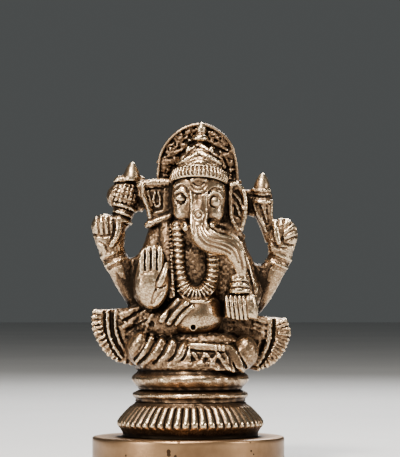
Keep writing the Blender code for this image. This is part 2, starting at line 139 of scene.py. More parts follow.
def sample(values, low, pitch, points):
    """Trilinear values of a lattice at points."""
    place = np.clip((points - low) / pitch, 0, np.array(values.shape) - 1.001)
    whole = place.astype(int)
    part = place - whole
    total = 0.0
    for corner in np.ndindex(2, 2, 2):
        weight = np.prod(np.where(corner, part, 1.0 - part), axis=1)
        total = total + weight * values[tuple((whole + corner).T)]
    return total


def box_mm(node):
    """A node's lowest and highest corner, in millimetres."""
    return [np.array(corner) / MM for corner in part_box(node)]


# ---------------------------------------------------------------- clay
class Clay:
    """A signed distance field round one CAD node, in millimetres, worked with strokes."""

    def __init__(self, node, home, pitch=PITCH, room=ROOM, fillet=1.2):
        low, high = box_mm(node)
        room = np.ones(3) * room
        self.node, self.pitch, self.fillet = node, pitch, fillet
        self.shift = (low + high) / 2 - np.array(home)
        self.low = low - room
        steps = np.ceil((high - low + 2 * room) / pitch).astype(int)
        self.field = np.full(steps + 1, FAR, np.float32)
        CLAYS.append(self)

    def patch(self, low, high):
        """The lattice between two corners: its slices, and its coordinates along X, Y and Z."""
        size = np.array(self.field.shape)
        first = np.clip(np.floor((low - self.low) / self.pitch).astype(int), 0, size - 1)
        last = np.clip(np.ceil((high - self.low) / self.pitch).astype(int) + 1, first + 1, size)
        window = tuple(slice(a, b) for a, b in zip(first, last))
        axes = [self.low[i] + self.pitch * np.arange(first[i], last[i]) for i in range(3)]
        return window, np.meshgrid(*axes, indexing="ij", sparse=True)

    def work(self, window, shape, blend, cut):
        """Adds a shape to the field in a window, or cuts it out."""
        old = self.field[window]
        if cut:
            self.field[window] = -smooth_min(-old, shape, blend)
        else:
            self.field[window] = smooth_min(old, shape, blend)

    def ball(self, at, radii, turn=(0, 0, 0), blend=0.3, cut=False):
        """An ellipsoid, turned by degrees."""
        centre = np.array(at) + self.shift
        radii = np.ones(3) * radii
        reach = radii.max() + blend + SPARE * self.pitch
        window, (x, y, z) = self.patch(centre - reach, centre + reach)
        spin = np.array(Euler([math.radians(a) for a in turn]).to_matrix())
        offsets = (x - centre[0], y - centre[1], z - centre[2])
        near = steep = 0.0
        for row, radius in zip(spin.T, radii):
            along = sum(r * o for r, o in zip(row, offsets)) / radius
            near = near + along ** 2
            steep = steep + (along / radius) ** 2
        near = np.sqrt(near)
        self.work(window, near * (near - 1.0) / np.sqrt(steep + TINY), blend, cut)

    def bead(self, at, along, radius, half, blend=0.1, cut=False):
        """A lens-shaped bead, threaded on a direction."""
        centre = np.array(at) + self.shift
        along = np.array(along, float) / np.linalg.norm(along)
        reach = max(radius, half) + blend + SPARE * self.pitch
        window, (x, y, z) = self.patch(centre - reach, centre + reach)
        dx, dy, dz = x - centre[0], y - centre[1], z - centre[2]
        t = dx * along[0] + dy * along[1] + dz * along[2]
        r2 = np.maximum(dx * dx + dy * dy + dz * dz - t * t, 0.0)
        near = np.sqrt(r2 / radius ** 2 + (t / half) ** 2)
        steep = np.sqrt(r2 / radius ** 4 + t * t / half ** 4 + TINY)
        self.work(window, near * (near - 1.0) / steep, blend, cut)

    def rope(self, points, radius=0.5, blend=0.3, cut=False, squash=1.0):
        """A tube through (x, y, z) or (x, y, z, radius) points, squashed from front to back."""
        route = smooth_route([(*p[:3], p[3] if len(p) > 3 else radius) for p in points])
        route[:, :3] += self.shift
        reach = route[:, 3].max() + blend + SPARE * self.pitch
        shape = np.full(self.field.shape, FAR, np.float32)
        for a, b in zip(route, route[1:]):
            window, (x, y, z) = self.patch(np.minimum(a, b)[:3] - reach, np.maximum(a, b)[:3] + reach)
            way = b[:3] - a[:3]
            dx, dy, dz = x - a[0], y - a[1], z - a[2]
            t = np.clip((dx * way[0] + dy * way[1] + dz * way[2]) / (way @ way + TINY), 0.0, 1.0)
            dx, dy, dz = dx - way[0] * t, dy - way[1] * t, dz - way[2] * t
            apart = np.sqrt(dx ** 2 + (squash * dy) ** 2 + dz ** 2)
            shape[window] = np.minimum(shape[window], apart - (a[3] + (b[3] - a[3]) * t))
        window, _ = self.patch(route[:, :3].min(0) - reach, route[:, :3].max(0) + reach)
        self.work(window, shape[window], blend, cut)

    def tablet(self, outline, front, back, edge=0.6, blend=0.3, cut=False):
        """An outline in XZ between two depths, with rounded edges."""
        xs, zs = zip(*outline)
        low = np.array([min(xs), front, min(zs)]) + self.shift
        high = np.array([max(xs), back, max(zs)]) + self.shift
        reach = blend + SPARE * self.pitch
        window, (x, y, z) = self.patch(low - reach, high + reach)
        flat = outline_distance(list(outline), x - self.shift[0], z - self.shift[2]) + edge
        deep = abs(y - (low[1] + high[1]) / 2) - (high[1] - low[1]) / 2 + edge
        outside = np.hypot(np.maximum(flat, 0.0), np.maximum(deep, 0.0))
        self.work(window, np.minimum(np.maximum(flat, deep), 0.0) + outside - edge, blend, cut)

    def spun(self, profile, at, turn=(0, 0, 0), edge=0.15, blend=0.2, cut=False):
        """A solid of revolution about its own Z, from (radius, height) points, turned by degrees."""
        centre = np.array(at) + self.shift
        reach = max(math.hypot(*p) for p in profile) + blend + SPARE * self.pitch
        window, (x, y, z) = self.patch(centre - reach, centre + reach)
        spin = np.array(Euler([math.radians(a) for a in turn]).to_matrix())
        offsets = (x - centre[0], y - centre[1], z - centre[2])
        u, v, w = (sum(r * o for r, o in zip(row, offsets)) for row in spin.T)
        both_sides = list(profile) + [(-r, h) for r, h in reversed(profile)]
        shape = outline_distance(both_sides, np.sqrt(u * u + v * v), w) - edge
        self.work(window, shape, blend, cut)

    def roughen(self, amount, size, seed):
        """Lumps of a size over the surface."""
        lumps = amount * value_noise(self.field.shape, size / self.pitch, seed)
        self.field += lumps.astype(np.float32)

    def face(self, x, z, behind=False):
        """Depth in the figure's frame of the first surface met from the front at (x, z), or from behind."""
        i = int(round((x + self.shift[0] - self.low[0]) / self.pitch))
        k = int(round((z + self.shift[2] - self.low[2]) / self.pitch))
        if not (0 <= i < self.field.shape[0] and 0 <= k < self.field.shape[2]):
            return None
        column = self.field[i, ::-1, k] if behind else self.field[i, :, k]
        inside = np.flatnonzero(column < 0)
        if not len(inside) or inside[0] == 0:
            return None
        j = inside[0]
        j = j - column[j] / (column[j] - column[j - 1])
        j = self.field.shape[1] - 1 - j if behind else j
        return self.low[1] + self.pitch * j - self.shift[1]

    def on(self, points, radius, lift=0.0, over=(), behind=False, **stroke):
        """A rope laid on the front: (x, z) or (x, z, radius) points take the depth of this clay or others."""
        route = smooth_route([(*p[:2], p[2] if len(p) > 2 else radius) for p in points], 0.8)
        laid = []
        for x, z, thick in route:
            depth = front_of(x, z, over or (self,), behind)
            if depth is not None:
                laid.append((x, depth + (lift if behind else -lift), z, thick))
        if len(laid) > 1:
            self.rope(laid, **stroke)

    def carve(self, points, radius, lift=0.1, blend=0.2, **stroke):
        """A groove along points on the front."""
        self.on(points, radius, lift, blend=blend, cut=True, **stroke)

    def both(self, points, radius, **stroke):
        """The same stroke on the front and on the back."""
        for behind in (False, True):
            self.on(points, radius, behind=behind, **stroke)

    def dot(self, x, z, radius, lift=0.0, over=(), behind=False, **stroke):
        """A ball set on the front at (x, z)."""
        depth = front_of(x, z, over or (self,), behind)
        if depth is not None:
            self.ball((x, depth + (lift if behind else -lift), z), radius, **stroke)

    def seen_by(self, other):
        """This clay's field on the part of another clay's lattice that it covers."""
        values, window = self.field, []
        for axis in range(3):
            place = other.low[axis] + other.pitch * np.arange(other.field.shape[axis]) - self.low[axis]
            place = place / self.pitch
            kept = np.flatnonzero((place >= 0) & (place < self.field.shape[axis] - 1))
            if not len(kept):
                return None, None
            whole = place[kept].astype(int)
            part = (place[kept] - whole).astype(np.float32)
            part = part.reshape([-1 if i == axis else 1 for i in range(3)])
            values = np.take(values, whole, axis) * (1 - part) + np.take(values, whole + 1, axis) * part
            window.append(slice(kept[0], kept[-1] + 1))
        return tuple(window), values

    def melt_into(self, others):
        """Runs a fillet out from this clay over the clays it sits on, as molten metal fills a corner."""
        under = np.full(self.field.shape, FAR, np.float32)
        for other in others:
            window, values = other.seen_by(self)
            if window:
                under[window] = np.minimum(under[window], values)
        self.field = np.maximum(smooth_min(self.field, under, self.fillet), self.field - 0.7 * self.fillet)

    def mesh(self, name):
        """The surface of the field, closed where the lattice ends."""
        for axis in range(3):
            for end in (0, -1):
                rim = np.moveaxis(self.field, axis, 0)[end]
                np.maximum(rim, self.pitch, out=rim)
        grid = openvdb.FloatGrid(FAR)
        grid.copyFromArray(np.ascontiguousarray(self.field))
        points, quads = largest_shell(*grid.convertToQuads(0.0))
        return mesh_of(name, points * self.pitch + self.low, quads)


def front_of(x, z, clays, behind=False):
    """The foremost depth of several pieces of clay at (x, z)."""
    depths = [d for d in (clay.face(x, z, behind) for clay in clays) if d is not None]
    if not depths:
        return None
    return max(depths) if behind else min(depths)


def largest_shell(points, quads):
    """Drops the specks that strokes leave loose: keeps the connected shell with the most points."""
    order = np.argsort(quads.ravel(), kind="stable")
    starts = np.searchsorted(quads.ravel()[order], np.arange(len(points)))
    label, spread = None, np.arange(len(points))
    while not np.array_equal(label, spread):
        label = spread
        spread = np.minimum.reduceat(label[quads].min(axis=1)[order // 4], starts)
        spread = spread[spread]
    kept = label == np.bincount(label).argmax()
    return points[kept], (np.cumsum(kept) - 1)[quads[kept[quads[:, 0]]]]


def mesh_of(name, points, faces):
    """A smooth mesh of same-sided faces from points in millimetres."""
    made = bpy.data.meshes.new(name)
    sides = faces.shape[1]
    made.vertices.add(len(points))
    made.vertices.foreach_set("co", (points * MM).astype(np.float32).ravel())
    made.loops.add(faces.size)
    made.loops.foreach_set("vertex_index", faces.astype(np.int32).ravel())
    made.polygons.add(len(faces))
    made.polygons.foreach_set("loop_start", np.arange(0, faces.size, sides, dtype=np.int32))
    made.update(calc_edges=True)
    made.polygons.foreach_set("use_smooth", np.ones(len(faces), bool))
    made.validate()
    return made


# ---------------------------------------------------------------- lathed parts
class Lathed:
    """A turned part from a (radius, height) profile that runs from the axis at the top to the axis below."""

    def __init__(self, node, profile, around, step, relief):
        low, high = box_mm(node)
        self.node = node
        self.centre = (low + high) / 2
        self.outline = [tuple(p) for p in profile]
        rings = []
        for a, b in zip(profile, profile[1:]):
            count = max(1, int(math.dist(a, b) / step))
            for i in range(count):
                rings.append([a[j] + (b[j] - a[j]) * i / count for j in (0, 1)])
        rings = np.array(rings[1:])
        turn = 2 * math.pi * np.arange(around) / around
        radius, angle = np.meshgrid(rings[:, 0], turn, indexing="ij")
        height = np.repeat(rings[:, 1:2], around, axis=1)
        rise = relief(radius, height, angle)
        radius = radius + rise
        self.sunk = np.append(0.15 - rise.ravel(), [0.0, 0.0])
        points = np.stack([radius * np.cos(angle), radius * np.sin(angle), height], -1).reshape(-1, 3)
        points[:, :2] += self.centre[:2]
        caps = [[*self.centre[:2], profile[0][1]], [*self.centre[:2], profile[-1][1]]]
        self.points = np.vstack([points, caps])
        first = np.arange(around)
        after = np.roll(first, -1)
        band = np.stack([first, first + around, after + around, after], 1)
        self.quads = np.vstack([band + i * around for i in range(len(rings) - 1)])
        last = (len(rings) - 1) * around
        top, bottom = len(points), len(points) + 1
        self.fans = np.vstack([np.stack([first * 0 + top, first, after], 1),
            np.stack([first * 0 + bottom, after + last, first + last], 1)])
        LATHED.append(self)

    def mesh(self, name):
        """The quads and the two fans of triangles that close them."""
        made = bpy.data.meshes.new(name)
        made.from_pydata((self.points * MM).tolist(), [], self.quads.tolist() + self.fans.tolist())
        made.polygons.foreach_set("use_smooth", np.ones(len(made.polygons), bool))
        made.set_sharp_from_angle(angle=math.radians(50))
        return made


# ---------------------------------------------------------------- body
def sculpt_torso():
    body = Clay("torso", (1.9, 1.9, 52), pitch=0.23, room=(8, 6, 4.4), fillet=1.6)
    for at, radii, blend in (
            ((1.4, 2.2, 42.2), (13, 9.3, 11.2), 0), ((2, 1.4, 51), (12, 8.6, 11.6), 3),
            ((2.6, 0.6, 60.6), (12.6, 8.2, 12), 3), ((-7, 0.4, 67.6), (5.2, 5, 5.6), 2),
            ((11.4, 0.4, 67.6), (5.2, 5, 5.6), 2), ((3.2, -1.4, 71.4), (8.6, 6.2, 5.2), 2),
            ((2.4, 3, 40), (19, 5.4, 7), 2), ((4.4, -6.8, 37), (10.8, 4.6, 2.8), 1),
            ((-6.2, -5.6, 42), (5.4, 4.8, 5.6), 1), ((2.4, -4.4, 69.8), (7.4, 5, 5), 1.5)):
        body.ball(at, radii, blend=blend)
    for drop in (0, 3, 6, 9, 12):
        body.on([(-8.5, 64 - drop), (0, 59.5 - drop), (8, 52.5 - drop), (12, 46 - drop)], 0.55, behind=True,
            blend=0.6)
    body.on([(-10.5, 45.5), (-4, 43.6), (4, 43.2), (12.5, 44.6)], 0.9, behind=True, blend=0.5)
    body.on([(7, 72.6), (12, 71), (16.2, 68.4)], 0.7)
    body.on([(7.6, 70.6), (12.4, 69), (16.2, 66)], 0.6)
    body.roughen(0.11, 0.7, 1)
    return body


def sculpt_belly():
    paunch = Clay("belly", (2.6, -8.71, 46.62), room=2.6, fillet=1)
    paunch.ball((1.9, -6.6, 44.2), (8.3, 6.4, 5.9), blend=0)
    paunch.ball((2.6, -6.2, 47.4), (6.6, 5.6, 4.6), blend=2.5)
    paunch.dot(1.5, 41.2, 1.3, lift=-0.9, blend=0.4)
    paunch.dot(1.5, 41.2, (0.8, 1.6, 0.8), blend=0.15, cut=True)
    paunch.on([(-0.6, 48), (1.6, 48.9), (5.6, 48.7), (7.4, 49.6)], 0.4, lift=0.1, blend=0.6)
    return paunch


def banded_limb(limb, bands):
    """Cloth bands round a limb: a groove between each two neighbouring pillows."""
    for band in bands:
        limb.carve(band, 0.42, lift=-0.12, blend=0.15)


def sculpt_legs():
    right = Clay("leg_right", (-10.44, -2.58, 35.36), room=2.4)
    right.rope([(-7.5, 7.5, 35, 4.4), (-13, 2.5, 34.6, 4.8), (-13.8, -4.5, 34.4, 4.9),
        (-9.4, -8.8, 33, 4.8), (-3.4, -11, 32.4, 4.6), (1, -11.4, 31.8, 4)], blend=0)
    right.ball((-14.9, -8, 36), (2.9, 3.8, 4.1), (0, 28, 0), blend=0.8)
    for start, middle, end in (((-10.6, 38.4), (-12.4, 34.8), (-15.2, 30.8)),
            ((-7.6, 37.8), (-9.6, 33.8), (-13.2, 30)), ((-4.4, 37.4), (-6, 33.2), (-9.8, 29.2)),
            ((-1, 36.4), (-2.8, 32.4), (-6.2, 29))):
        right.on([(*start, 0.9), (*middle, 1.3), (*end, 0.9)], 0.9, lift=-0.75, blend=0.5)
    banded_limb(right, (((-11.7, 39.2), (-13.2, 35.4), (-16.2, 31.2)),
        ((-9, 38.6), (-11.2, 34.2), (-14.8, 30.4)), ((-5.8, 38), (-7.8, 33.4), (-11.6, 29)),
        ((-2.6, 37.2), (-4.2, 32.8), (-8.4, 28.6)), ((0.4, 36.2), (-1.4, 32.2), (-4.4, 28.8))))
    right.roughen(0.05, 0.7, 2)

    left = Clay("leg_left", (15.05, -0.65, 34.18), room=2.4)
    left.rope([(9, 7.5, 34.6, 4.4), (15.2, 3, 34.3, 4.6), (16.3, -4, 33.4, 4.6), (14.6, -9.2, 32.2, 4.3),
        (11.4, -11, 31.4, 3.6)], blend=0)
    left.ball((17.4, -9.4, 34.4), (3.3, 3.8, 4.5), (0, -18, 0), blend=0.8)
    left.on([(11.8, 35.6, 0.9), (13.6, 32.2, 1.3), (16, 28.6, 0.9)], 0.8, lift=-0.4, blend=0.4)
    left.on([(10.2, 33.6, 0.7), (11.4, 31.4, 1), (13.2, 28.6, 0.8)], 0.8, lift=-0.3, blend=0.4)
    banded_limb(left, (((13.4, 37), (15.3, 33), (17.6, 28.6)), ((10.6, 35), (12.3, 31.8), (14.4, 28.4))))
    left.roughen(0.06, 0.7, 3)

    foot = Clay("foot_left", (6.26, -13.9, 35.99), room=2.2, fillet=0.5)
    foot.rope([(11.4, -12.9, 35.2, 0.9), (8.6, -13.8, 35.4, 1), (5, -14, 35.6, 1), (0.6, -13.6, 36, 0.8)],
        blend=0)
    for x in (10.4, 9.3, 8.2):
        foot.ball((x, -14.5, 35.3), (0.55, 0.7, 0.9), blend=0.1)
    foot.on([(0.8, 36.2), (4, 36.1), (7.4, 35.9)], 0.35)

    pleats = Clay("dhoti_pleats", (6.7, -13.1, 32.9), room=2.8)
    pleats.tablet([(-3.6, 28.2), (13, 28.2), (11.8, 32.6), (10.6, 34.4), (0.4, 34.9), (-2, 33)], -14.4,
        -9.6, 0.7, blend=0)
    for lean in ((1.6, 33.4, 4.6, 28.6), (4.9, 33.2, 3.4, 30.6), (5.6, 33, 8.6, 28.8), (8.6, 33, 7.2, 30.8),
            (9, 32.8, 12.2, 28.6), (0.6, 33, -1.2, 28.8)):
        pleats.on([lean[:2], lean[2:]], 0.72, blend=0.4)
    pleats.carve([(0.2, 34.5), (6, 34.3), (11.6, 33.9)], 0.5, lift=0)
    pleats.roughen(0.07, 0.6, 4)


def fan_cloth(name, home, outline, rim, side, reach, count, bars, seed):
    """A spread of pleated cloth: short pleats along its outer rim, and raised bars or grooves inside them."""
    fan = Clay(name, home, room=(2.8, 2.4, 2.6))
    fan.tablet(outline, -3.6, 5.6, 0.9, blend=0)
    route = smooth_route([(x, 0, z) for x, z in rim], 0.4)[:, [0, 2]]
    for share in np.linspace(0.03, 0.97, count):
        i = int(share * (len(route) - 1))
        way = route[min(i + 3, len(route) - 1)] - route[max(i - 3, 0)]
        inward = side * np.array([-way[1], way[0]]) / np.linalg.norm(way)
        near, far = route[i] + 0.5 * inward, route[i] + reach * inward
        fan.both([(*near, 0.62), (*far, 0.5)], 0.5, lift=-0.12, blend=0.25)
    for points, thick, cut in bars:
        fan.on(points, thick, lift=-0.1, blend=0.2, cut=cut)
    fan.roughen(0.09, 0.6, seed)


def sculpt_fans():
    rim = [(-28.6, 46.2), (-29, 43.4), (-28.6, 40.2), (-27.4, 37.2), (-25, 33.6), (-21.7, 31),
        (-16.7, 29.8)]
    fan_cloth("seat_fan_right", (-21.83, 1, 39), [(-14, 46.8), (-24, 46.4), *rim, (-14, 31)], rim, 1, 2.7,
        13, (([(-25, 46), (-24.8, 40), (-23, 35), (-20.2, 31.4)], 0.42, True),
        ([(-24.1, 45.8), (-23.9, 40.2), (-22.3, 35.6), (-19.8, 32)], 0.5, False),
        ([(-23, 46), (-22.8, 40.2), (-21.4, 36), (-19.2, 32.6)], 0.6, True),
        ([(-21.8, 45.8), (-21.6, 40.4), (-20.4, 36.6), (-18.6, 33)], 0.5, False),
        ([(-20.8, 40.4), (-19.6, 37.2), (-18, 33.6)], 0.45, True), ([(-19.7, 39.4), (-18.8, 37),
        (-17.6, 34.2)], 0.6, False)), 5)
    rim = [(29.4, 43.6), (30.6, 40), (30, 36.6), (28.2, 33), (25, 29.8), (20.6, 28)]
    fan_cloth("seat_fan_left", (24.03, 1, 36.26), [(17, 43.8), (25, 44), *rim, (17, 29)], rim, -1, 3.4, 17,
        (([(25.7, 43.4), (25.6, 38.6), (24.2, 33.8), (21.6, 30)], 0.45, True),
        ([(24.3, 43.2), (24.2, 38.4), (22.8, 33.8), (20.4, 30)], 0.75, False),
        ([(22.9, 42.4), (22.8, 38), (21.6, 34), (19.6, 31)], 0.45, True),
        ([(21.6, 41.6), (21.5, 37.6), (20.4, 34.4)], 0.65, False)), 6)


def sculpt_drapes():
    right = Clay("waist_drape_right", (-14.46, -4.63, 41.61), room=(3, 2.4, 2.6))
    right.tablet([(-20.8, 46.2), (-15.8, 46.8), (-12, 48), (-6, 46.4), (-4.6, 40.4), (-11, 38), (-17, 37.4),
        (-19.6, 39)], -4.8, 1, 1.2, blend=0)
    right.ball((-10.4, -4.8, 42.6), (4.8, 4.6, 4.8), blend=1.5)
    right.on([(-20, 44.9, 1), (-17.8, 45.3, 1.2), (-14.8, 46.4, 0.8), (-12.6, 47.2, 0.5)], 0.9, lift=-0.3,
        blend=0.4)
    right.on([(-19.6, 40.9, 0.9), (-17.6, 42.5, 1.1), (-15, 44.3, 0.9), (-12.8, 45.8, 0.5)], 0.9, lift=-0.2,
        blend=0.4)
    right.carve([(-20.2, 42.8), (-17.2, 44.3), (-13.8, 46.2)], 0.45, blend=0.15)
    right.carve([(-19.4, 38.8), (-17, 40.8), (-14.2, 42.6), (-12, 43.6)], 0.45, blend=0.15)
    right.on([(-10.8, 44.6), (-12, 41.6), (-12.6, 39.6)], 0.6, lift=-0.2, blend=0.4)
    right.dot(-10.7, 41.9, (0.9, 0.9, 1.2), blend=0.4, cut=True)
    right.roughen(0.16, 0.8, 7)

    left = Clay("waist_drape_left", (17.44, -4.69, 40.29), room=(3, 2.4, 2.6))
    left.tablet([(9.4, 45), (19.8, 44.6), (23.2, 43.9), (22.8, 38), (19.6, 36.8), (9.4, 37.4)], -4.6, 1,
        1.2, blend=0)
    for start, end in (((19.6, 43.6), (22.8, 42.6)), ((19.8, 42.2), (22.8, 41)),
            ((20, 40.8), (22.6, 39.2))):
        left.on([start, end], 0.55, lift=-0.12)
    left.roughen(0.14, 0.7, 8)


# ---------------------------------------------------------------- head and crown
def sculpt_head():
    head = Clay("head", (3.4, -3.6, 79), pitch=0.16, fillet=1)
    head.tablet([(-4.5, 83.4), (-4.9, 79.4), (-4.4, 75.6), (-2.6, 72.9), (0.6, 72.2), (6, 72.2), (8.8, 73),
        (10.5, 76), (11.1, 79.6), (10.8, 83.4), (8, 86.6), (3.2, 88), (-2, 86.6)], -10.2, 3, 3, blend=0)
    head.ball((3.2, -7.2, 79.6), (6.6, 4.2, 7.6), blend=1.5)
    head.ball((-0.9, -8, 75.2), (3.3, 3, 3), blend=1)
    head.ball((7.2, -8, 75.2), (3.3, 3, 3), blend=1)
    # the root of the trunk: a flat field between two raised edges
    head.rope([(3.1, -8.4, 81.6, 1.6), (3.1, -9.5, 79, 2.3), (3, -10.2, 74.8, 2.6)], blend=2, squash=1.3)
    head.carve([(3.1, 80.4), (3, 76.4)], 1.3, lift=0.95, blend=0.3)
    head.on([(0.7, 81.6), (1, 80), (1.1, 77.2), (0.9, 74)], 0.4, blend=0.5)
    head.on([(5.4, 81.6), (5.2, 80), (5.2, 77.2), (5.2, 74)], 0.4, blend=0.5)
    # the figure's right eye, heavy lidded, and its brow
    head.dot(-2.2, 79.4, (1.9, 0.42, 1.5), turn=(0, 14, 0), blend=0.4, cut=True)
    head.dot(-2.2, 79.5, (1.5, 0.8, 0.9), turn=(0, 16, 0), blend=0.1)
    head.carve([(-3.6, 78.7), (-2.3, 77.9), (-0.8, 78.4)], 0.38, lift=0.05, blend=0.15)
    head.carve([(-3.8, 80.5), (-2.5, 80.9), (-1.2, 80.4), (-0.5, 79.5)], 0.24, lift=0.05, blend=0.1)
    head.on([(-3.9, 81.2), (-2.6, 81.9), (-1.2, 81.4), (-0.2, 80.2)], 0.4)
    head.carve([(-3.8, 82.8), (-2.2, 83.4), (-0.8, 82.8), (0, 81.5)], 0.38, lift=0.05, blend=0.3)
    # the left eye, rounder, and its brow
    head.dot(7.9, 78.4, (1.95, 0.45, 1.95), cut=True)
    head.dot(7.9, 78.4, (1.6, 0.75, 1.6), lift=0.05, blend=0.1)
    head.on([(5.9, 79.5), (6.7, 80.9), (8, 81.3), (9.3, 80.8), (10, 79.6)], 0.4)
    head.carve([(6.1, 81), (7, 82.2), (8.3, 82.7), (9.8, 82.1)], 0.36, lift=0.05, blend=0.3)
    # the forehead mark: nested curves over the root of the trunk
    for dip, half, thick in ((80.7, 2.5, 0.3), (82, 2.1, 0.3), (83.2, 1.9, 0.3)):
        head.carve([(3.1 - half, dip + 1.3), (3.1 - half * 0.6, dip + 0.4), (3.1, dip),
            (3.1 + half * 0.6, dip + 0.4), (3.1 + half, dip + 1.3)], thick, lift=0.05, blend=0.25)
    head.on([(1.2, 84.9), (3.1, 85.5), (5, 84.9)], 0.7, blend=0.5)
    head.roughen(0.025, 0.6, 9)
    return head


def sculpt_trunk():
    trunk = Clay("trunk", (8.69, -14.86, 68.93), room=(2.6, 6, 2.6), pitch=0.18, fillet=0.8)
    trunk.rope([(3, -10.2, 77, 2.2), (3, -10.9, 74.4, 2.5), (3, -11.8, 71.2, 2.7), (4.2, -12.6, 67.9, 3.1),
        (7.5, -13, 66, 3.3), (12, -12.8, 64.8, 3), (14.4, -12.6, 62.2, 2.6), (15.5, -12.2, 58.6, 1.8),
        (15.6, -12, 56.8, 1.4)], blend=0, squash=1.25)
    # raised borders beside the root, and the lines that run on along the upper side
    trunk.on([(0.9, 74.6), (1, 71.6), (1.4, 69)], 0.42, lift=0.05)
    trunk.on([(5.2, 74.8), (5.3, 72), (6.4, 70), (9.4, 68.4), (13.4, 67.2), (15.6, 64.4), (16.8, 59.6)],
        0.45, lift=0.1)
    for line in ([(4.4, 71.6), (5.4, 69), (7.6, 67.6), (11.2, 67), (13.8, 65.4), (15.4, 61.8),
            (16.2, 58.6)], [(3.6, 71.4), (4.6, 68.4), (6.8, 66.6), (10.3, 65.8), (13.2, 64.1),
            (14.9, 60.6)], [(2.7, 71), (3.6, 67.8), (5.8, 65.6), (9.6, 64.6), (12.4, 63)]):
        trunk.carve(line, 0.36, blend=0.3)
    trunk.on([(1.5, 74.4), (1.9, 75.6), (3, 76.2), (4.1, 75.6), (4.5, 74.4), (3.9, 73.2), (3, 72.8),
        (2, 73.3), (1.5, 74.4)], 0.3, lift=0.1, blend=0.1)
    trunk.dot(3, 74.4, (0.75, 0.6, 0.75), blend=0.1)


def sculpt_tusks():
    right = Clay("tusk_right", (-1.01, -13.07, 72.39), room=(2.6, 4, 2.6), fillet=0.5)
    right.rope([(-1.3, -8.6, 72.4, 1.2), (-1, -10.8, 71.4, 1.2), (-0.7, -12, 70.6, 1.05)], blend=0)

    left = Clay("tusk_left", (7.81, -13.07, 72.39), room=(2.6, 4, 2.6), fillet=0.5)
    left.rope([(7.6, -8.6, 72.4, 1.1), (7.2, -10.6, 71.8, 1.1), (6.9, -12, 71.3, 0.95)], blend=0)


def sculpt_ears():
    right = Clay("ear_right", (-8.85, -2.5, 78.7), room=(2.4, 2.6, 2.6))
    right.tablet([(-15.4, 84.6), (-15, 80.6), (-12.9, 77.2), (-12.2, 74), (-12.4, 71), (-6.4, 73), (-3, 74),
        (-3, 85.4), (-8, 85.6)], -4.4, 1.2, 1.1, blend=0)
    right.tablet([(-12.6, 82.8), (-12.3, 80), (-11, 77.8), (-10.4, 75.4), (-7.6, 76.4), (-7.4, 82.6)], -5.6,
        -3.9, 0.3, blend=0.5, cut=True)
    right.on([(-14.2, 83.8), (-11, 84.3), (-5, 84.4)], 1.1, lift=-0.4, blend=0.5)
    right.on([(-13.6, 83.6), (-13.4, 80.4), (-12, 77.2), (-11.4, 74)], 0.65, lift=-0.15, blend=0.4)
    right.on([(-12.2, 71.7), (-9.4, 72.9), (-5.6, 74.2)], 1, lift=-0.1)
    right.on([(-9.9, 81.4), (-10.4, 79.4), (-9.6, 77.2), (-8.6, 77.4), (-8.4, 79.6), (-9, 81.4)], 0.35,
        lift=0.1, blend=0.15)
    right.on([(-12.2, 82.4), (-11.6, 79.8), (-10.9, 77.6)], 0.4, lift=0.05, blend=0.15)
    right.carve([(-12.4, 82.2), (-9.8, 82.6), (-7.6, 82.4)], 0.35)
    right.roughen(0.07, 0.6, 10)

    left = Clay("ear_left", (13.7, -2.5, 77.1), room=(2.4, 2.6, 2.6))
    left.tablet([(9.6, 83.8), (12.4, 84.6), (14.8, 84.8), (17.2, 82), (17.8, 77.4), (17.2, 73.4),
        (16.4, 70.4), (15.4, 69), (12.4, 69.6), (9.6, 73)], -4.4, 1.2, 1.1, blend=0)
    left.tablet([(13.5, 81.8), (14.9, 82.4), (16.1, 80.2), (16.3, 76.6), (15.6, 73.4), (13.7, 74.6)], -5.6,
        -3.8, 0.3, blend=0.5, cut=True)
    left.on([(12.6, 83.4), (12.5, 78.4), (12.9, 73.6), (14.6, 70.6)], 0.65, lift=-0.1)
    left.on([(12.8, 83.6), (14.8, 83.9), (16.6, 81.4), (17.1, 77.2), (16.6, 73.2), (15.8, 70.4)], 0.65,
        lift=-0.1)
    for fold in ([(13.8, 80.9), (15.2, 79.4), (16.4, 76.6)], [(13.7, 78.4), (14.7, 77), (15.5, 74.6)]):
        left.on(fold, 0.5, lift=0.1, blend=0.2)
    left.roughen(0.07, 0.6, 11)


# the crown leans back, and a little to the figure's left
CROWN_TURN = (-16, 2, 0)
CROWN_FOOT = (3.2, -4, 85.6)
HALO_MIDDLE = 2.95
RIDGES = 42


def crown_point(radius, angle, height):
    """A point of the crown's own frame, set round by an angle in degrees from the front towards the left."""
    spin = Euler([math.radians(a) for a in CROWN_TURN]).to_matrix()
    turn = math.radians(angle)
    offset = Vector((radius * math.sin(turn), -radius * math.cos(turn), height))
    return Vector(CROWN_FOOT) + spin @ offset


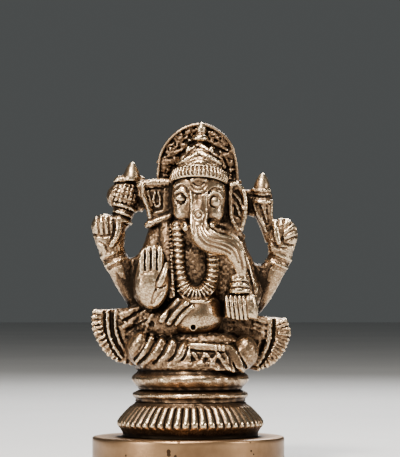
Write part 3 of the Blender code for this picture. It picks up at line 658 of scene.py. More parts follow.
def sculpt_crown():
    band = Clay("crown_band", (3.4, -4.2, 85.89), pitch=0.16, room=2.2, fillet=0.4)
    band.spun([(0, 1.2), (7.6, 1.2), (8.2, 0.6), (8.2, -0.8), (7.6, -1.4), (0, -1.4)], CROWN_FOOT,
        CROWN_TURN, blend=0)
    for ridge in range(RIDGES):
        angle = 360 * ridge / RIDGES
        bow = [crown_point(r, angle, h) for r, h in ((8.15, 1), (8.4, -0.1), (8.15, -1.2))]
        band.rope(bow, 0.44, 0.05)
    for height in (1.5, -1.65):
        band.rope([crown_point(7.9, angle, height) for angle in range(0, 361, 15)], 0.26, 0.1)

    tiers = Clay("crown_tiers", (3.4, -3.77, 91.22), pitch=0.16, room=3, fillet=0.6)
    tiers.spun([(0, 10.4), (1.4, 10.2), (2.2, 9.2), (3.6, 7.6), (5, 5.8), (6.2, 4), (6.6, 3), (6.4, 2.2),
        (6, 1.2), (0, 1.2)], (3.3, -4, 85.6), CROWN_TURN, blend=0)
    tiers.on([(-3.4, 89.9), (-0.8, 90.9), (1.4, 92), (3.3, 92.9), (5.2, 92.1), (7.6, 90.9), (9.8, 89.7)],
        0.8, lift=0.1, blend=0.2)
    tiers.on([(-1.6, 91.6), (0, 93.2), (1.6, 94.5), (3.3, 95.6), (4.8, 94.7), (6.6, 93.4), (8.4, 91.8)],
        0.75, lift=0.1, blend=0.2)
    tiers.carve([(0.6, 93.2), (3.3, 94.1), (5.8, 93.3)], 0.35)
    tiers.carve([(-0.4, 90), (3.3, 91.3), (7, 90)], 0.35)
    for x, z in ((0, 94.2), (6.8, 94)):
        tiers.dot(x, z, (0.75, 0.7, 1.1), blend=0.2)
    tiers.ball((3.3, -2.4, 96.4), (1.2, 1.5, 0.7), blend=0.15)
    tiers.ball((3.5, -2.4, 97.7), (2.5, 2.6, 1.25), blend=0.1)
    tiers.roughen(0.06, 0.5, 36)

    finial = Clay("crown_finial", (3.4, -1.67, 98.6), pitch=0.16, room=2.8, fillet=0.4)
    finial.spun([(0, 2), (0.7, 1.6), (1.2, 0.3), (1.1, -0.9), (0, -1.2)], (3.9, -1.4, 100.5), (-6, 4, 0),
        0.2, blend=0)
    finial.ball((3.7, -1.2, 99.2), (1.5, 1.5, 0.5), blend=0.2)


HALO_EDGE = [(-9.3, 80), (-9.4, 86), (-9.1, 90), (-8.6, 93.2), (-7.2, 96), (-5.3, 98.3), (-3, 100.2),
    (-0.8, 101.4), (1.7, 102.1), (4.2, 102.3), (6.7, 101.6), (9, 100.3), (11.3, 98.4), (13.2, 95.9),
    (14.1, 93), (14.7, 90), (15, 86), (15, 80)]
# a curl of the halo's scrollwork: its place, its radius, and the angle where it opens
CURLS = ((-2.6, 97.6, 1.5, 40), (-5.2, 94.4, 1.3, 80), (-6.6, 91, 1.2, 110), (0, 99.9, 1.1, 0),
    (7.4, 99, 1.3, 150), (10.4, 97, 1.5, 120), (12.6, 90.2, 1.1, 60), (-3.6, 91.4, 0.9, 230))


def sculpt_halo():
    hood = Clay("halo", (3, 2.6, 90.2), pitch=0.18, room=(1.8, 1.8, 1.8), fillet=1)
    outline = [tuple(p) for p in smooth_route([(x, 0, z) for x, z in HALO_EDGE], 1.5)[:, [0, 2]]]
    hood.tablet(outline, 0.7, 4.8, 0.5, blend=0)
    inner = [(HALO_MIDDLE + (x - HALO_MIDDLE) * 0.94, z - 0.8) for x, z in HALO_EDGE]
    hood.tablet(inner, -1, 1.3, 0.2, cut=True)
    for x, z, size, opens in CURLS:
        turn = np.radians(opens + np.linspace(0, 470, 12))
        spread = size * np.linspace(1, 0.22, 12)
        hood.rope([(x + s * math.cos(a), 1.1 - 0.3 * (1 - s / size), z + s * math.sin(a), 0.45) for s,
            a in zip(spread, turn)])
        hood.ball((x, 0.9, z), 0.5, blend=0.2)
    rng = np.random.default_rng(12)
    for _ in range(120):
        angle, share = (rng.uniform(0, math.pi), rng.uniform(0.55, 0.92))
        x, z = (3 + 11.6 * share * math.cos(angle), 90.4 + 11.4 * share * math.sin(angle))
        if rng.random() < 0.35:
            x, z = ((-7.4 if rng.random() < 0.5 else 13) + rng.normal() * 1, rng.uniform(82, 91))
        hood.ball((x, 1.3, z), rng.uniform(0.6, 1.5, 3) * 0.75, rng.uniform(0, 180, 3), blend=0.25)
    for ribbon in ([(5.4, 97.2), (8.6, 95.9), (11.6, 94.4)], [(8.2, 92.8), (9.8, 91.6), (10.8, 89.6)],
            [(9.6, 93.6), (11.2, 92.2), (12, 90)], [(-3.6, 93.6), (-2, 94.4), (-0.6, 95.8)]):
        hood.rope([(x, 0.9, z, 0.5) for x, z in ribbon], blend=0.25)
    hood.on([(HALO_MIDDLE, 80), (HALO_MIDDLE, 101)], 0.5, behind=True, blend=0.6)
    for half in (4, 8):
        left, right = HALO_MIDDLE - half, HALO_MIDDLE + half
        hood.on([(left, 80), (left, 90), (HALO_MIDDLE, 90.4 + half + 0.6), (right, 90), (right, 80)], 0.4,
            behind=True, blend=0.5)
    hood.roughen(0.1, 0.6, 13)
    hood.rope([(HALO_MIDDLE + (x - HALO_MIDDLE) * 0.975, 0.7, z - 0.25) for x, z in HALO_EDGE], 0.45, 0.2)


# ---------------------------------------------------------------- arms and hands
def sculpt_front_arms():
    right = Clay("front_arm_right", (-11.8, -1.7, 58.47), room=(3, 2.4, 2.4), fillet=1.6)
    right.rope([(-6.5, 0, 70, 4), (-8.6, 0.6, 66.4, 4.2), (-11.2, 1, 60, 4.2), (-12.4, -1.5, 52.6, 4.1),
        (-11.6, -5.6, 50.2, 3.8), (-10.8, -7.6, 51.6, 3.4)], blend=0)
    for start, middle, end in (((-12.4, 68.2), (-10.2, 65.8), (-7.8, 65.2)),
            ((-12, 70), (-9.8, 67.6), (-7.6, 67)), ((-11, 71.6), (-9.2, 69.4), (-7.6, 68.8))):
        right.carve([start, middle, end], 0.4, lift=0.05, blend=0.3)
    right.roughen(0.1, 0.6, 14)

    left = Clay("front_arm_left", (17.58, -1.63, 56.81), room=(3, 2.4, 2.4), fillet=1.6)
    left.rope([(11.2, 0, 69, 4.2), (13.4, 0.8, 63.6, 4.4), (16.2, 0.6, 56.6, 4.2), (17.8, -1.5, 50.6, 4),
        (16.4, -5.6, 47.6, 3.2)], blend=0)
    left.on([(15.6, 66), (17.6, 61), (19, 56.4), (20.4, 52.4)], 0.5)
    left.on([(11.4, 63.6), (12.8, 60), (13.2, 56.6)], 0.5)
    left.carve([(18, 58), (19, 54.4), (20, 50.6)], 0.4)
    left.roughen(0.1, 0.6, 15)


def sculpt_rear_arms():
    right = Clay("rear_arm_right", (-15.73, 4.49, 55.64), room=(3.4, 3.4, 2.4), fillet=1.4)
    right.rope([(-14.8, 3, 47, 2.6), (-16.8, 2.6, 51.2, 3.1), (-19.4, 2.4, 56, 3.4),
        (-21.4, 2.2, 60.6, 3.4), (-22.2, 2.2, 62.8, 3.4)], blend=0, squash=1.15)
    right.rope([(-9, 6.5, 62, 3.4), (-12.6, 5.6, 54.4, 3.2), (-15, 4.2, 48.8, 3)], blend=0.8)
    right.roughen(0.04, 0.8, 37)

    left = Clay("rear_arm_left", (21.01, 4.51, 55.13), room=(3.4, 3.4, 2.4), fillet=1.4)
    left.rope([(19.4, 3, 46.8, 2.6), (21.6, 2.6, 50.4, 3.1), (24.2, 2.4, 55.4, 3.4), (26.4, 2.2, 59.8, 3.3),
        (27.2, 2.2, 61.8, 3.3)], blend=0, squash=1.15)
    left.rope([(14.6, 6.5, 61, 3.4), (18, 5.4, 53.4, 3.2), (20, 4.2, 48.4, 3)], blend=0.8)
    left.roughen(0.04, 0.8, 38)


def sculpt_webs():
    right = Clay("arm_web_right", (-16.19, 3.6, 59.62), room=(9, 3, 16), fillet=1.6)
    right.tablet([(-7, 66), (-12.4, 64.8), (-15, 62.6), (-17.8, 61.6), (-20.8, 62.6), (-21.4, 58),
        (-19, 51), (-16, 45), (-7, 43)], 0, 4.8, 0.8, blend=0)
    right.on([(-16.6, 61), (-16, 56), (-14.6, 50)], 0.5)
    right.roughen(0.14, 0.7, 16)

    left = Clay("arm_web_left", (20.7, 3.6, 58.45), room=(9, 3, 16), fillet=1.6)
    left.tablet([(12, 67), (16, 65.8), (17.6, 62.8), (19.6, 60.2), (22, 59.8), (25.4, 61), (24.8, 56.6),
        (21.6, 49), (19.6, 44), (12, 42)], 0, 4.8, 0.8, blend=0)
    left.on([(20.6, 59.2), (20.6, 54.6), (20.4, 49.6)], 0.5)
    left.roughen(0.14, 0.7, 17)


def sculpt_bangles():
    right = Clay("bangle_right", (-22.3, 2.4, 61.6), room=(3, 3, 2.4), fillet=0.4)
    right.rope([(-23, 2.3, 63, 3.6), (-21.7, 2.3, 60.2, 3.5)], blend=0, squash=1.1)

    left = Clay("bangle_left", (27.2, 2.4, 61), room=(3, 3, 2.4), fillet=0.4)
    left.rope([(27.8, 2.3, 62.4, 3.5), (26.4, 2.3, 59.6, 3.4)], blend=0, squash=1.1)
    for bracelet, x, z, slope, lean in ((right, -22.4, 61.6, 0.34, -0.5), (left, 27.1, 61, -0.4, 0.5)):
        for rise, thick, cut in ((2.4, 0.5, True), (1.4, 0.5, False), (0.2, 0.45, True), (-1, 0.5, False),
                (-2.1, 0.5, True)):
            line = [(x + side + lean * rise, z + rise + side * slope) for side in (-3.6, 0, 3.6)]
            bracelet.both(line, thick, cut=cut, blend=0.15)
        bracelet.roughen(0.07, 0.5, 18)


def sculpt_raised_hands():
    right = Clay("raised_hand_right", (-24.4, 2, 68.8), room=(2.8, 2.6, 2.4), fillet=1)
    right.tablet([(-29.2, 71.6), (-28, 74.2), (-25, 75), (-21.4, 74.4), (-19.2, 72.2), (-18.9, 68.4),
        (-19.6, 64), (-25.8, 61.8), (-27.6, 65.6), (-28.6, 68.6)], -1.4, 5.2, 2.2, blend=0)
    right.ball((-25.6, 0.2, 71.8), (3, 2.2, 2.8), blend=1.2)
    for start, end in (((-27.3, 75.2), (-26.9, 69.2)), ((-25.6, 75.8), (-25.2, 69)),
            ((-23.9, 75.8), (-23.6, 69))):
        right.both([start, end], 0.4, lift=0.05, blend=0.2, cut=True)
    right.carve([(-29.2, 69.2), (-26, 68.4), (-22.4, 68.9)], 0.42, lift=0.05)
    right.on([(-21.2, 73.8), (-20.8, 71), (-21.6, 67.8), (-23, 65.8)], 1, blend=0.25)
    right.carve([(-22.5, 73.6), (-22.3, 70.6), (-23.2, 67.6)], 0.35, blend=0.15)
    right.carve([(-26.8, 66.6), (-24.8, 65.6), (-24.2, 63.8)], 0.35, lift=0.05)

    left = Clay("raised_hand_left", (28.3, 2, 68.26), room=(2.8, 2.6, 2.4), fillet=1)
    left.tablet([(24.2, 68), (25, 71.4), (27.2, 73.8), (30.2, 73.6), (32.4, 71), (32.8, 67.6), (31.8, 64.6),
        (30.4, 61.6), (24.2, 63.4), (23.8, 66)], -1.4, 5.2, 2.2, blend=0)
    left.ball((29.6, 0.2, 69.8), (2.8, 2.2, 3.2), blend=1.2)
    for start, end in (((31.8, 73), (28.8, 70.4)), ((33, 71), (29, 68.6)), ((33.4, 68.8), (29.2, 66.9))):
        left.both([start, end], 0.4, lift=0.05, blend=0.2, cut=True)
    left.carve([(28.6, 73.6), (28.3, 70), (28.6, 66.4), (31.6, 65.6)], 0.4, lift=0.05)
    left.on([(26.2, 72.4), (26.4, 69.6), (27, 66.6)], 0.95, blend=0.25)
    left.carve([(25, 66.6), (27, 65), (29.6, 64.8)], 0.35, lift=0.05)
    for hand, seed in ((right, 19), (left, 20)):
        hand.roughen(0.06, 0.6, seed)


def sculpt_blessing_hand():
    palm = Clay("blessing_hand", (-10.6, -11.6, 55.87), pitch=0.16, room=(2.2, 2.6, 2.4), fillet=0.7)
    palm.ball((-10.7, -9.8, 54.2), (5, 3.7, 7.6), blend=0)
    palm.tablet([(-14.8, 56), (-14.6, 63.2), (-12.8, 65), (-10.2, 65.6), (-8, 65.2), (-7.2, 62),
        (-7.6, 56)], -12.6, -8, 0.9, blend=1.2)
    for x, tip in ((-13.75, 63.7), (-12, 65), (-10.2, 65.4), (-8.45, 65)):
        palm.rope([(x + 0.1, -12.3, 57.6, 0.85), (x, -12.4, 60.4, 0.84), (x + 0.1, -12, tip - 0.7, 0.76)],
            blend=0.1)
    for x in (-12.9, -11.1, -9.3):
        palm.carve([(x, 65.4), (x, 61.4), (x + 0.05, 58.2)], 0.3, lift=0, blend=0.25)
    palm.ball((-11.9, -12.2, 54.4), (2.6, 1.1, 3.2), blend=0.8)
    palm.carve([(-6.2, 60.6), (-7.6, 58.4), (-9.4, 54.6), (-9.4, 52.4)], 0.4)
    palm.rope([(-6.6, -11.2, 59.8, 0.7), (-7.1, -12, 57.8, 1), (-7.9, -12.6, 55.2, 1.05),
        (-8.7, -12.7, 53.4, 0.7)], blend=0.15)
    palm.carve([(-9.2, 53), (-8, 52.9), (-6.6, 53.6)], 0.3, blend=0.15)
    palm.rope([(-6.9, -11, 52.4, 0.7), (-7.6, -11.8, 51.2, 1), (-8.8, -12, 49.2, 1),
        (-9.9, -11.6, 47.9, 0.7)], blend=0.15)
    palm.carve([(-9.6, 52.4), (-10.6, 50.2), (-10.9, 48.2)], 0.34)
    palm.roughen(0.03, 0.6, 21)


def sculpt_holding_hand():
    hand = Clay("holding_hand", (15.3, -11.1, 47.4), pitch=0.16, room=2.4, fillet=0.6)
    hand.tablet([(10.9, 44), (10.9, 50.6), (15.4, 51.1), (19.9, 50.6), (20.6, 47.6), (20.4, 43.6),
        (15.6, 43.2)], -13.4, -5.4, 2, blend=0)
    for x, foot in ((11.5, 44.5), (12.75, 44.1), (14, 43.9), (15.25, 43.8), (16.5, 43.8)):
        hand.rope([(x - 0.1, -12.7, 50.2, 0.5), (x + 0.2, -13.1, 47.4, 0.62), (x + 0.6, -12.8, foot, 0.5)],
            blend=0.2)
        hand.carve([(x + 0.5, 50.4), (x + 0.8, 47.4), (x + 1.2, foot)], 0.18, lift=0)
    hand.ball((18.9, -11.4, 47.2), (1.7, 1.6, 3.4), (0, -8, 0), blend=0.8)
    hand.on([(11.2, 50.9), (15.2, 51.3), (19.6, 50.8)], 0.45, lift=-0.1, blend=0.15)
    hand.roughen(0.04, 0.6, 22)


def sculpt_bowl():
    bowl = Clay("sweet_bowl", (15.3, -11.4, 53.9), pitch=0.16, room=(2.8, 2.4, 2.4), fillet=0.4)
    bowl.spun([(0, 1.9), (2.4, 1.9), (2.7, 1.4), (2.2, 0.9), (2.8, 0.5), (2.9, -0.3), (2.4, -0.9),
        (3.1, -1.4), (3, -2.2), (2.2, -2.6), (0, -2.6)], (15.2, -10.8, 53.6), (-6, 0, 0), blend=0)
    bowl.roughen(0.06, 0.5, 39)

    sweets = Clay("sweets", (15.4, -10.78, 57.13), room=3, fillet=0.4)
    sweets.ball((15.2, -10.6, 56.4), (2.5, 2.3, 1.5), blend=0)
    for x, z in ((13.4, 56), (15, 55.9), (16.6, 55.9)):
        sweets.dot(x, z, 0.75, lift=-0.3, blend=0.2)
    sweets.roughen(0.06, 0.5, 23)


def sculpt_mace():
    club = Clay("mace_head", (-19.34, 1.6, 78.57), pitch=0.18, room=(3, 2.6, 2.6), fillet=0.9)
    club.ball((-19.4, 1.6, 80.4), (5.2, 4.2, 4.4), blend=0)
    club.rope([(-18.9, 1.6, 77.4, 3.3), (-20.4, 1.6, 73, 3)], blend=0.6)
    club.rope([(-21, 1.6, 85, 1.5), (-17.4, 1.6, 85.6, 1.8), (-14.2, 1.6, 85, 1.4)], blend=0.4)
    club.tablet([(-18, 84), (-12.4, 84), (-12, 77.4), (-14, 75.8), (-16.6, 76.2), (-18.6, 77.4)], 0, 3.2,
        0.7, blend=1)
    heart, across, upward = (np.array([-19.2, 80.8]), np.array([0.96, -0.28]), np.array([0.28, 0.96]))
    for step in (-2.8, -1.4, 0, 1.4, 2.8):
        for run, offset in ((across, upward), (upward, across)):
            line = [tuple(heart + step * offset + reach * run) for reach in (-3.4, 0, 3.4)]
            club.both(line, 0.26, lift=0.05, blend=0.15, cut=True)
    for x, z in ((-18.6, 77.2), (-19.4, 75.2), (-20.2, 73.4)):
        for behind in (False, True):
            club.on([(x - 3.4, z + 0.9), (x, z), (x + 3.4, z - 1.3)], 0.55, behind=behind, blend=0.15)
            club.carve([(x - 3.4, z), (x, z - 0.9), (x + 3.4, z - 2.2)], 0.26, 0, 0.15, behind=behind)
    club.both([(-22.4, 84.2), (-17.6, 84.4), (-13.8, 83.4)], 0.4, blend=0.2, cut=True)
    club.roughen(0.07, 0.5, 25)

    tip = Clay("mace_tip", (-17.44, 1.6, 88.69), room=2.8, fillet=0.4)
    tip.spun([(0, 3.3), (0.7, 2.9), (1.5, 1.6), (2.1, 0.2), (2.5, -1.2), (2.5, -2.2), (0, -2.6)],
        (-17, 1.6, 87.4), (0, 2, 0), blend=0)


def sculpt_goad():
    cup = Clay("goad_head", (22.22, 1.6, 76.1), pitch=0.18, room=(4.6, 2.6, 2.6), fillet=0.9)
    cup.rope([(22.2, 1.6, 80.6, 3), (22.3, 1.6, 77.6, 3.2), (22.9, 1.6, 74.4, 2.6), (23.8, 1.6, 70.8, 2),
        (24.6, 1.6, 67.6, 1.7)], blend=0)
    cup.tablet([(15.4, 76.4), (15.8, 82.2), (20.4, 82.6), (21.2, 75.4), (19.4, 74.2), (17.4, 74.8)], 0.2,
        3.2, 0.7, blend=1.2)
    for behind in (False, True):
        cup.on([(19.4, 82.3), (22.1, 82), (24.9, 82.3)], 0.6, behind=behind, blend=0.2)
        cup.carve([(18.8, 80.6), (22.1, 80.2), (25.4, 80.6)], 0.45, lift=0, behind=behind)
        cup.on([(19.6, 78.9), (22.2, 78.6), (25, 78.9)], 0.6, behind=behind, blend=0.2)
        cup.on([(19.8, 78), (20.6, 75.6), (22.2, 72.6), (23.4, 70)], 0.5, behind=behind, blend=0.2)
        cup.on([(24.9, 78), (24.9, 75), (24.9, 71.6)], 0.5, behind=behind, blend=0.2)
        cup.carve([(21.4, 77.4), (22.4, 74.6), (23.6, 72)], 0.5, behind=behind)
        cup.carve([(23.7, 77.4), (23.9, 74.6), (24.1, 72.2)], 0.4, behind=behind)
    cup.roughen(0.06, 0.5, 26)

    tip = Clay("goad_tip", (21.84, 1.6, 85.5), room=2.8, fillet=0.4)
    tip.spun([(0, 2.7), (0.7, 2.3), (1.5, 1), (2.1, -0.4), (2.4, -1.6), (2.3, -2.4), (0, -3)],
        (22.2, 1.6, 84.7), (0, 3, 0), blend=0)


# ---------------------------------------------------------------- ornaments
def droop(height):
    """How far a height is into the garland's heavier lower loop, from 0 to 1."""
    return np.clip((56.5 - height) / 2.5, 0, 1)


def sculpt_garland(body, paunch, head):
    string = Clay("garland", (2.15, -12.07, 59.77), pitch=0.16, room=(3.2, 3.4, 2.6), fillet=0.4)
    route = [(-3.2, 71.4), (-3, 68), (-3, 64), (-2.85, 60.6), (-2.5, 57.2), (-1.6, 54.2), (0, 52.2),
        (2.4, 51.4), (4.8, 52.2), (6.5, 54.4), (7.3, 57.6), (7.3, 60.6), (7.2, 63.4)]
    line = smooth_route([(x, 0, z) for x, z in route], 0.25)[:, [0, 2]]
    depth = np.array([front_of(x, z, (body, paunch, head)) or -9 for x, z in line])
    depth = np.convolve(np.pad(depth, 12, mode="edge"), np.ones(25) / 25, mode="valid") - 0.9
    gone = np.concatenate([[0], np.cumsum(np.hypot(*np.diff(line, axis=0).T))])
    place = 0.6
    while place < gone[-1]:
        i = int(np.searchsorted(gone, place))
        way = line[min(i + 2, len(line) - 1)] - line[max(i - 2, 0)]
        low = droop(line[i][1])
        at = (line[i][0], depth[i], line[i][1] - 0.5 * low)
        string.bead(at, (way[0], 0, way[1]), 1.92 + 0.55 * low, 1.06 - 0.4 * low, blend=0.2)
        place += 1.66 - 0.62 * low
    core = []
    for (x, z), d in zip(line[::6], depth[::6]):
        core.append((x, d + 0.25, z - 0.5 * droop(z), 1.74 + 0.45 * droop(z)))
    string.rope(core, blend=0.15)
    string.on([(-2.9, 52), (-1, 49.8), (2.2, 48.7), (5.4, 49.8), (7.6, 52.4)], 0.42, over=(paunch, string),
        lift=-0.1, blend=0.1)


def sculpt_shawl(body):
    strip = Clay("shawl_right", (-6.54, -7.64, 62.14), room=2.6, fillet=0.5)
    strip.rope([(-6.5, -3, 73, 2), (-6.5, -5.4, 67.6, 2), (-5.9, -7.6, 61, 1.6), (-5.2, -8.8, 54, 1.2),
        (-4.9, -9.6, 50.6, 0.9)], blend=0, squash=1.3)
    beads = smooth_route([(-5.3, 0, 71.6), (-5.2, 0, 66), (-5, 0, 60), (-4.7, 0, 54), (-4.4, 0, 50.6)],
        0.95)
    for x, _, z in beads:
        depth = front_of(x, z, (strip, body))
        strip.ball((x, depth - 0.05 if depth else -9.6, z), 0.46, blend=0.1)
    strip.roughen(0.11, 0.6, 27)


def sculpt_sash(body, paunch):
    sash = Clay("waist_sash", (-4.39, -11.51, 43.98), room=(3.4, 4.6, 3.4), fillet=0.4)
    for start, end, thick in (((-7.8, 43.3), (-3, 48.8), 1.15), ((-5.6, 42.5), (-0.6, 48.2), 1),
            ((-3.4, 42.1), (1.2, 47.2), 0.75)):
        middle = ((start[0] + end[0]) / 2 - 0.3, (start[1] + end[1]) / 2 + 0.2)
        sash.on([start, middle, end], thick, lift=0.35 - 0.4 * thick, over=(body, paunch), blend=0.1)
    sash.roughen(0.05, 0.5, 40)


# ---------------------------------------------------------------- pedestal and disc
FLUTES = 52


def flute_relief(height, angle):
    """Rounded flutes with narrow valleys between them, dying out at the neck and above the lip."""
    wave = np.abs(np.sin(angle * FLUTES / 2)) ** 0.7
    reach = np.clip((height - 11.2) / 0.7, 0, 1) * np.clip((17.9 - height) / 0.6, 0, 1)
    return reach * (0.85 * wave - 0.6)


def cast_relief(amount, waves, seed):
    """The slight unevenness of a cast surface, as a relief for a lathed part."""
    rng = np.random.default_rng(seed)
    terms = [(int(rng.integers(2, waves)), rng.uniform(0.3, 2.2), rng.uniform(0, 6.3)) for _ in range(14)]

    def relief(radius, height, angle):
        edge = np.clip(radius / 8 - 1, 0, 1)
        return edge * amount * sum(np.sin(n * angle + k * height + p) for n, k, p in terms) / 4

    return relief


def lathe_pedestal():
    Lathed("base_disc", [(0, 8.4), (28.1, 8.4), (28.45, 8.32), (28.72, 8.05), (28.8, 7.7),
        (28.8, 0.5), (28.5, 0.12), (28.2, 0), (0, 0)], 220, 0.7, cast_relief(0.02, 9, 30))
    rough = cast_relief(0.07, 40, 31)

    def skirt_relief(radius, height, angle):
        return flute_relief(height, angle) * (radius > 12) + 0.5 * rough(radius, height, angle)

    Lathed("pedestal_skirt", [(0, 18.7), (16.6, 18.7), (16.9, 18.2), (17.9, 17.4), (19.4, 15.9),
        (20.8, 14.4), (21.7, 13.1), (21.8, 12), (21.5, 11.3), (21.1, 10.9), (20.7, 10.2), (20.2, 9.2),
        (20.3, 8.6), (0, 8.6)], 832, 0.4, skirt_relief)
    Lathed("pedestal_ring_lower", [(0, 22.3), (15.4, 22.3), (15.8, 22.1), (16.8, 21.7),
        (17.3, 21.3), (17.4, 20.8), (17.1, 20.3), (16.6, 19.9), (16.4, 19.5), (16.5, 19), (0, 19)], 300,
        0.25, cast_relief(0.09, 40, 32))
    Lathed("pedestal_ring_upper", [(0, 28.6), (15.7, 28.6), (15.8, 28), (16.2, 27.4), (16.9, 26.9),
        (17.4, 26.4), (17.6, 25.8), (17.55, 25.3), (17.2, 24.7), (16.7, 24.1), (16.3, 23.7), (15.8, 23.3),
        (15.5, 22.6), (0, 22.6)], 300, 0.25, cast_relief(0.09, 40, 33))


def sculpt_seat():
    seat = Clay("seat_plate", (0.6, -0.4, 29.9), pitch=0.26, room=2.2)
    seat.spun([(0, 1.1), (15.4, 1.1), (16.2, 0.5), (16.4, -0.5), (15.9, -1.2), (0, -1.2)],
        (0.6, -0.2, 29.9), blend=0)
    rng = np.random.default_rng(34)
    lumps = 64
    for lump in range(lumps):
        angle = 2 * math.pi * (lump + 0.3 * rng.random()) / lumps
        seat.ball((0.6 + 16 * math.cos(angle), -0.2 + 16 * math.sin(angle), 29.7 + 0.5 * rng.normal()),
            rng.uniform(0.4, 0.8))
    seat.roughen(0.1, 0.7, 35)


# ---------------------------------------------------------------- patina and painted shade
# lattice spacing of the patina and of the painted shade
PATINA_AND_SHADE_PITCH = 0.4
MARGIN = 4.0                    # lattice kept round the whole idol
# how far metal is averaged round a point, in cells, and how far out of the surface it is looked up
NEAR, MIDDLE, BROAD = (1, 0.25), (3, 0.7), (8, 1.8)


def occupancy():
    """How much of each cell of a lattice round the whole idol is metal."""
    low = np.array(CAD_BOX[0]) / MM - MARGIN
    size = np.ceil((np.array(CAD_BOX[1]) / MM + MARGIN - low) / PATINA_AND_SHADE_PITCH).astype(int)
    axes = [low[i] + PATINA_AND_SHADE_PITCH * np.arange(size[i]) for i in range(3)]
    solid = np.zeros(size, np.float32)
    for clay in CLAYS:
        high = clay.low + clay.pitch * (np.array(clay.field.shape) - 1)
        first = np.clip(np.ceil((clay.low - low) / PATINA_AND_SHADE_PITCH).astype(int), 0, size)
        last = np.clip(np.floor((high - low) / PATINA_AND_SHADE_PITCH).astype(int) + 1, 0, size)
        window = tuple(slice(a, b) for a, b in zip(first, last))
        near = []
        for axis in range(3):
            place = (axes[axis][window[axis]] - clay.low[axis]) / clay.pitch
            near.append(np.clip(np.rint(place).astype(int), 0, clay.field.shape[axis] - 1))
        share = np.clip(0.5 - clay.field[np.ix_(*near)] / PATINA_AND_SHADE_PITCH, 0, 1)
        solid[window] = np.maximum(solid[window], share)
    x, y, z = np.meshgrid(*axes, indexing="ij", sparse=True)
    for part in LATHED:
        radius = np.sqrt((x - part.centre[0]) ** 2 + (y - part.centre[1]) ** 2)
        top = max(h for _, h in part.outline) + 1.0
        window = (slice(None), slice(None), slice(0, int((top - low[2]) / PATINA_AND_SHADE_PITCH)))
        both_sides = part.outline + [(-r, h) for r, h in reversed(part.outline)]
        apart = outline_distance(both_sides, radius, z[:, :, window[2]])
        solid[window] = np.maximum(solid[window], np.clip(0.5 - apart / PATINA_AND_SHADE_PITCH, 0, 1))
    solid[:, :, :int(-low[2] / PATINA_AND_SHADE_PITCH)] = 0.0
    return solid, low


def lay_patina_and_shade(meshes):
    """Writes two attributes on each mesh: hollow, the patina from fine relief, and deep, painted shade from
    the whole idol's form.
    """
    solid, low = occupancy()
    layers = [(soften(solid, cells), out) for cells, out in (NEAR, MIDDLE, BROAD)]
    for source, mesh in meshes:
        count = len(mesh.vertices)
        points, normals = np.empty(count * 3, np.float32), np.empty(count * 3, np.float32)
        mesh.vertices.foreach_get("co", points)
        mesh.vertices.foreach_get("normal", normals)
        points, normals = points.reshape(-1, 3) / MM, normals.reshape(-1, 3)
        near, middle, broad = (sample(values, low, PATINA_AND_SHADE_PITCH, points + normals * out)
                               for values, out in layers)
        # deep is painted shade: darker where much of the idol's form lies round a point
        deep = np.maximum(1.1 * (middle - 0.30) + 1.0 * (broad - 0.22), -0.06)
        hollow = 1.0 * (near - 0.36)
        if isinstance(source, Clay):
            own = soften(np.clip(0.5 - source.field / source.pitch, 0, 1), 2)
            fine = sample(own, source.low, source.pitch, points + normals * 0.1)
            hollow = hollow + 1.4 * (fine - 0.42)
        else:
            hollow = hollow + 0.4 * source.sunk - 0.05
        for name, values in (("hollow", hollow), ("deep", deep)):
            layer = mesh.attributes.new(name, "FLOAT", "POINT")
            layer.data.foreach_set("value", values.astype(np.float32))


# ---------------------------------------------------------------- materials
class Nodes:
    """Short calls for building a material's nodes."""

    def __init__(self, name):
        self.material = bpy.data.materials.new(name)
        self.material.use_nodes = True
        self.tree = self.material.node_tree
        self.shader = self.tree.nodes["Principled BSDF"]

    def add(self, kind, inputs=(), output=0, **settings):
        node = self.tree.nodes.new("ShaderNode" + kind)
        for key, value in settings.items():
            setattr(node, key, value)
        for socket, value in dict(inputs).items():
            self.set(node.inputs[socket], value)
        return node.outputs[output]

    def set(self, socket, value):
        if isinstance(value, bpy.types.NodeSocket):
            self.tree.links.new(value, socket)
        else:
            socket.default_value = value

    def math(self, operation, a, b=0.0, clamp=False):
        return self.add("Math", {0: a, 1: b}, operation=operation, use_clamp=clamp)

    def noise(self, scale, detail=3.0, roughness=0.55):
        place = self.add("TexCoord", output="Object")
        look = {"Vector": place, "Scale": scale, "Detail": detail, "Roughness": roughness}
        return self.add("TexNoise", look)

    def ramp(self, value, stops):
        made = self.tree.nodes.new("ShaderNodeValToRGB")
        while len(made.color_ramp.elements) < len(stops):
            made.color_ramp.elements.new(1.0)
        for element, (place, colour) in zip(made.color_ramp.elements, stops):
            element.position = place
            element.color = (*colour, 1.0)
        self.set(made.inputs[0], value)
        return made.outputs[0]

    def attribute(self, name):
        return self.add("Attribute", output="Fac", attribute_name=name)

    def around(self, value, middle, amount):
        """A value about its middle, times an amount."""
        return self.math("MULTIPLY", self.math("SUBTRACT", value, middle), amount)

    def finish(self, colour, rough, metallic=1.0, bump=None):
        """Joins the looks to the shader and returns the material."""
        inputs = {"Base Color": colour, "Roughness": rough, "Metallic": metallic, "Normal": bump}
        for name, value in inputs.items():
            if value is not None:
                self.set(self.shader.inputs[name], value)
        return self.material


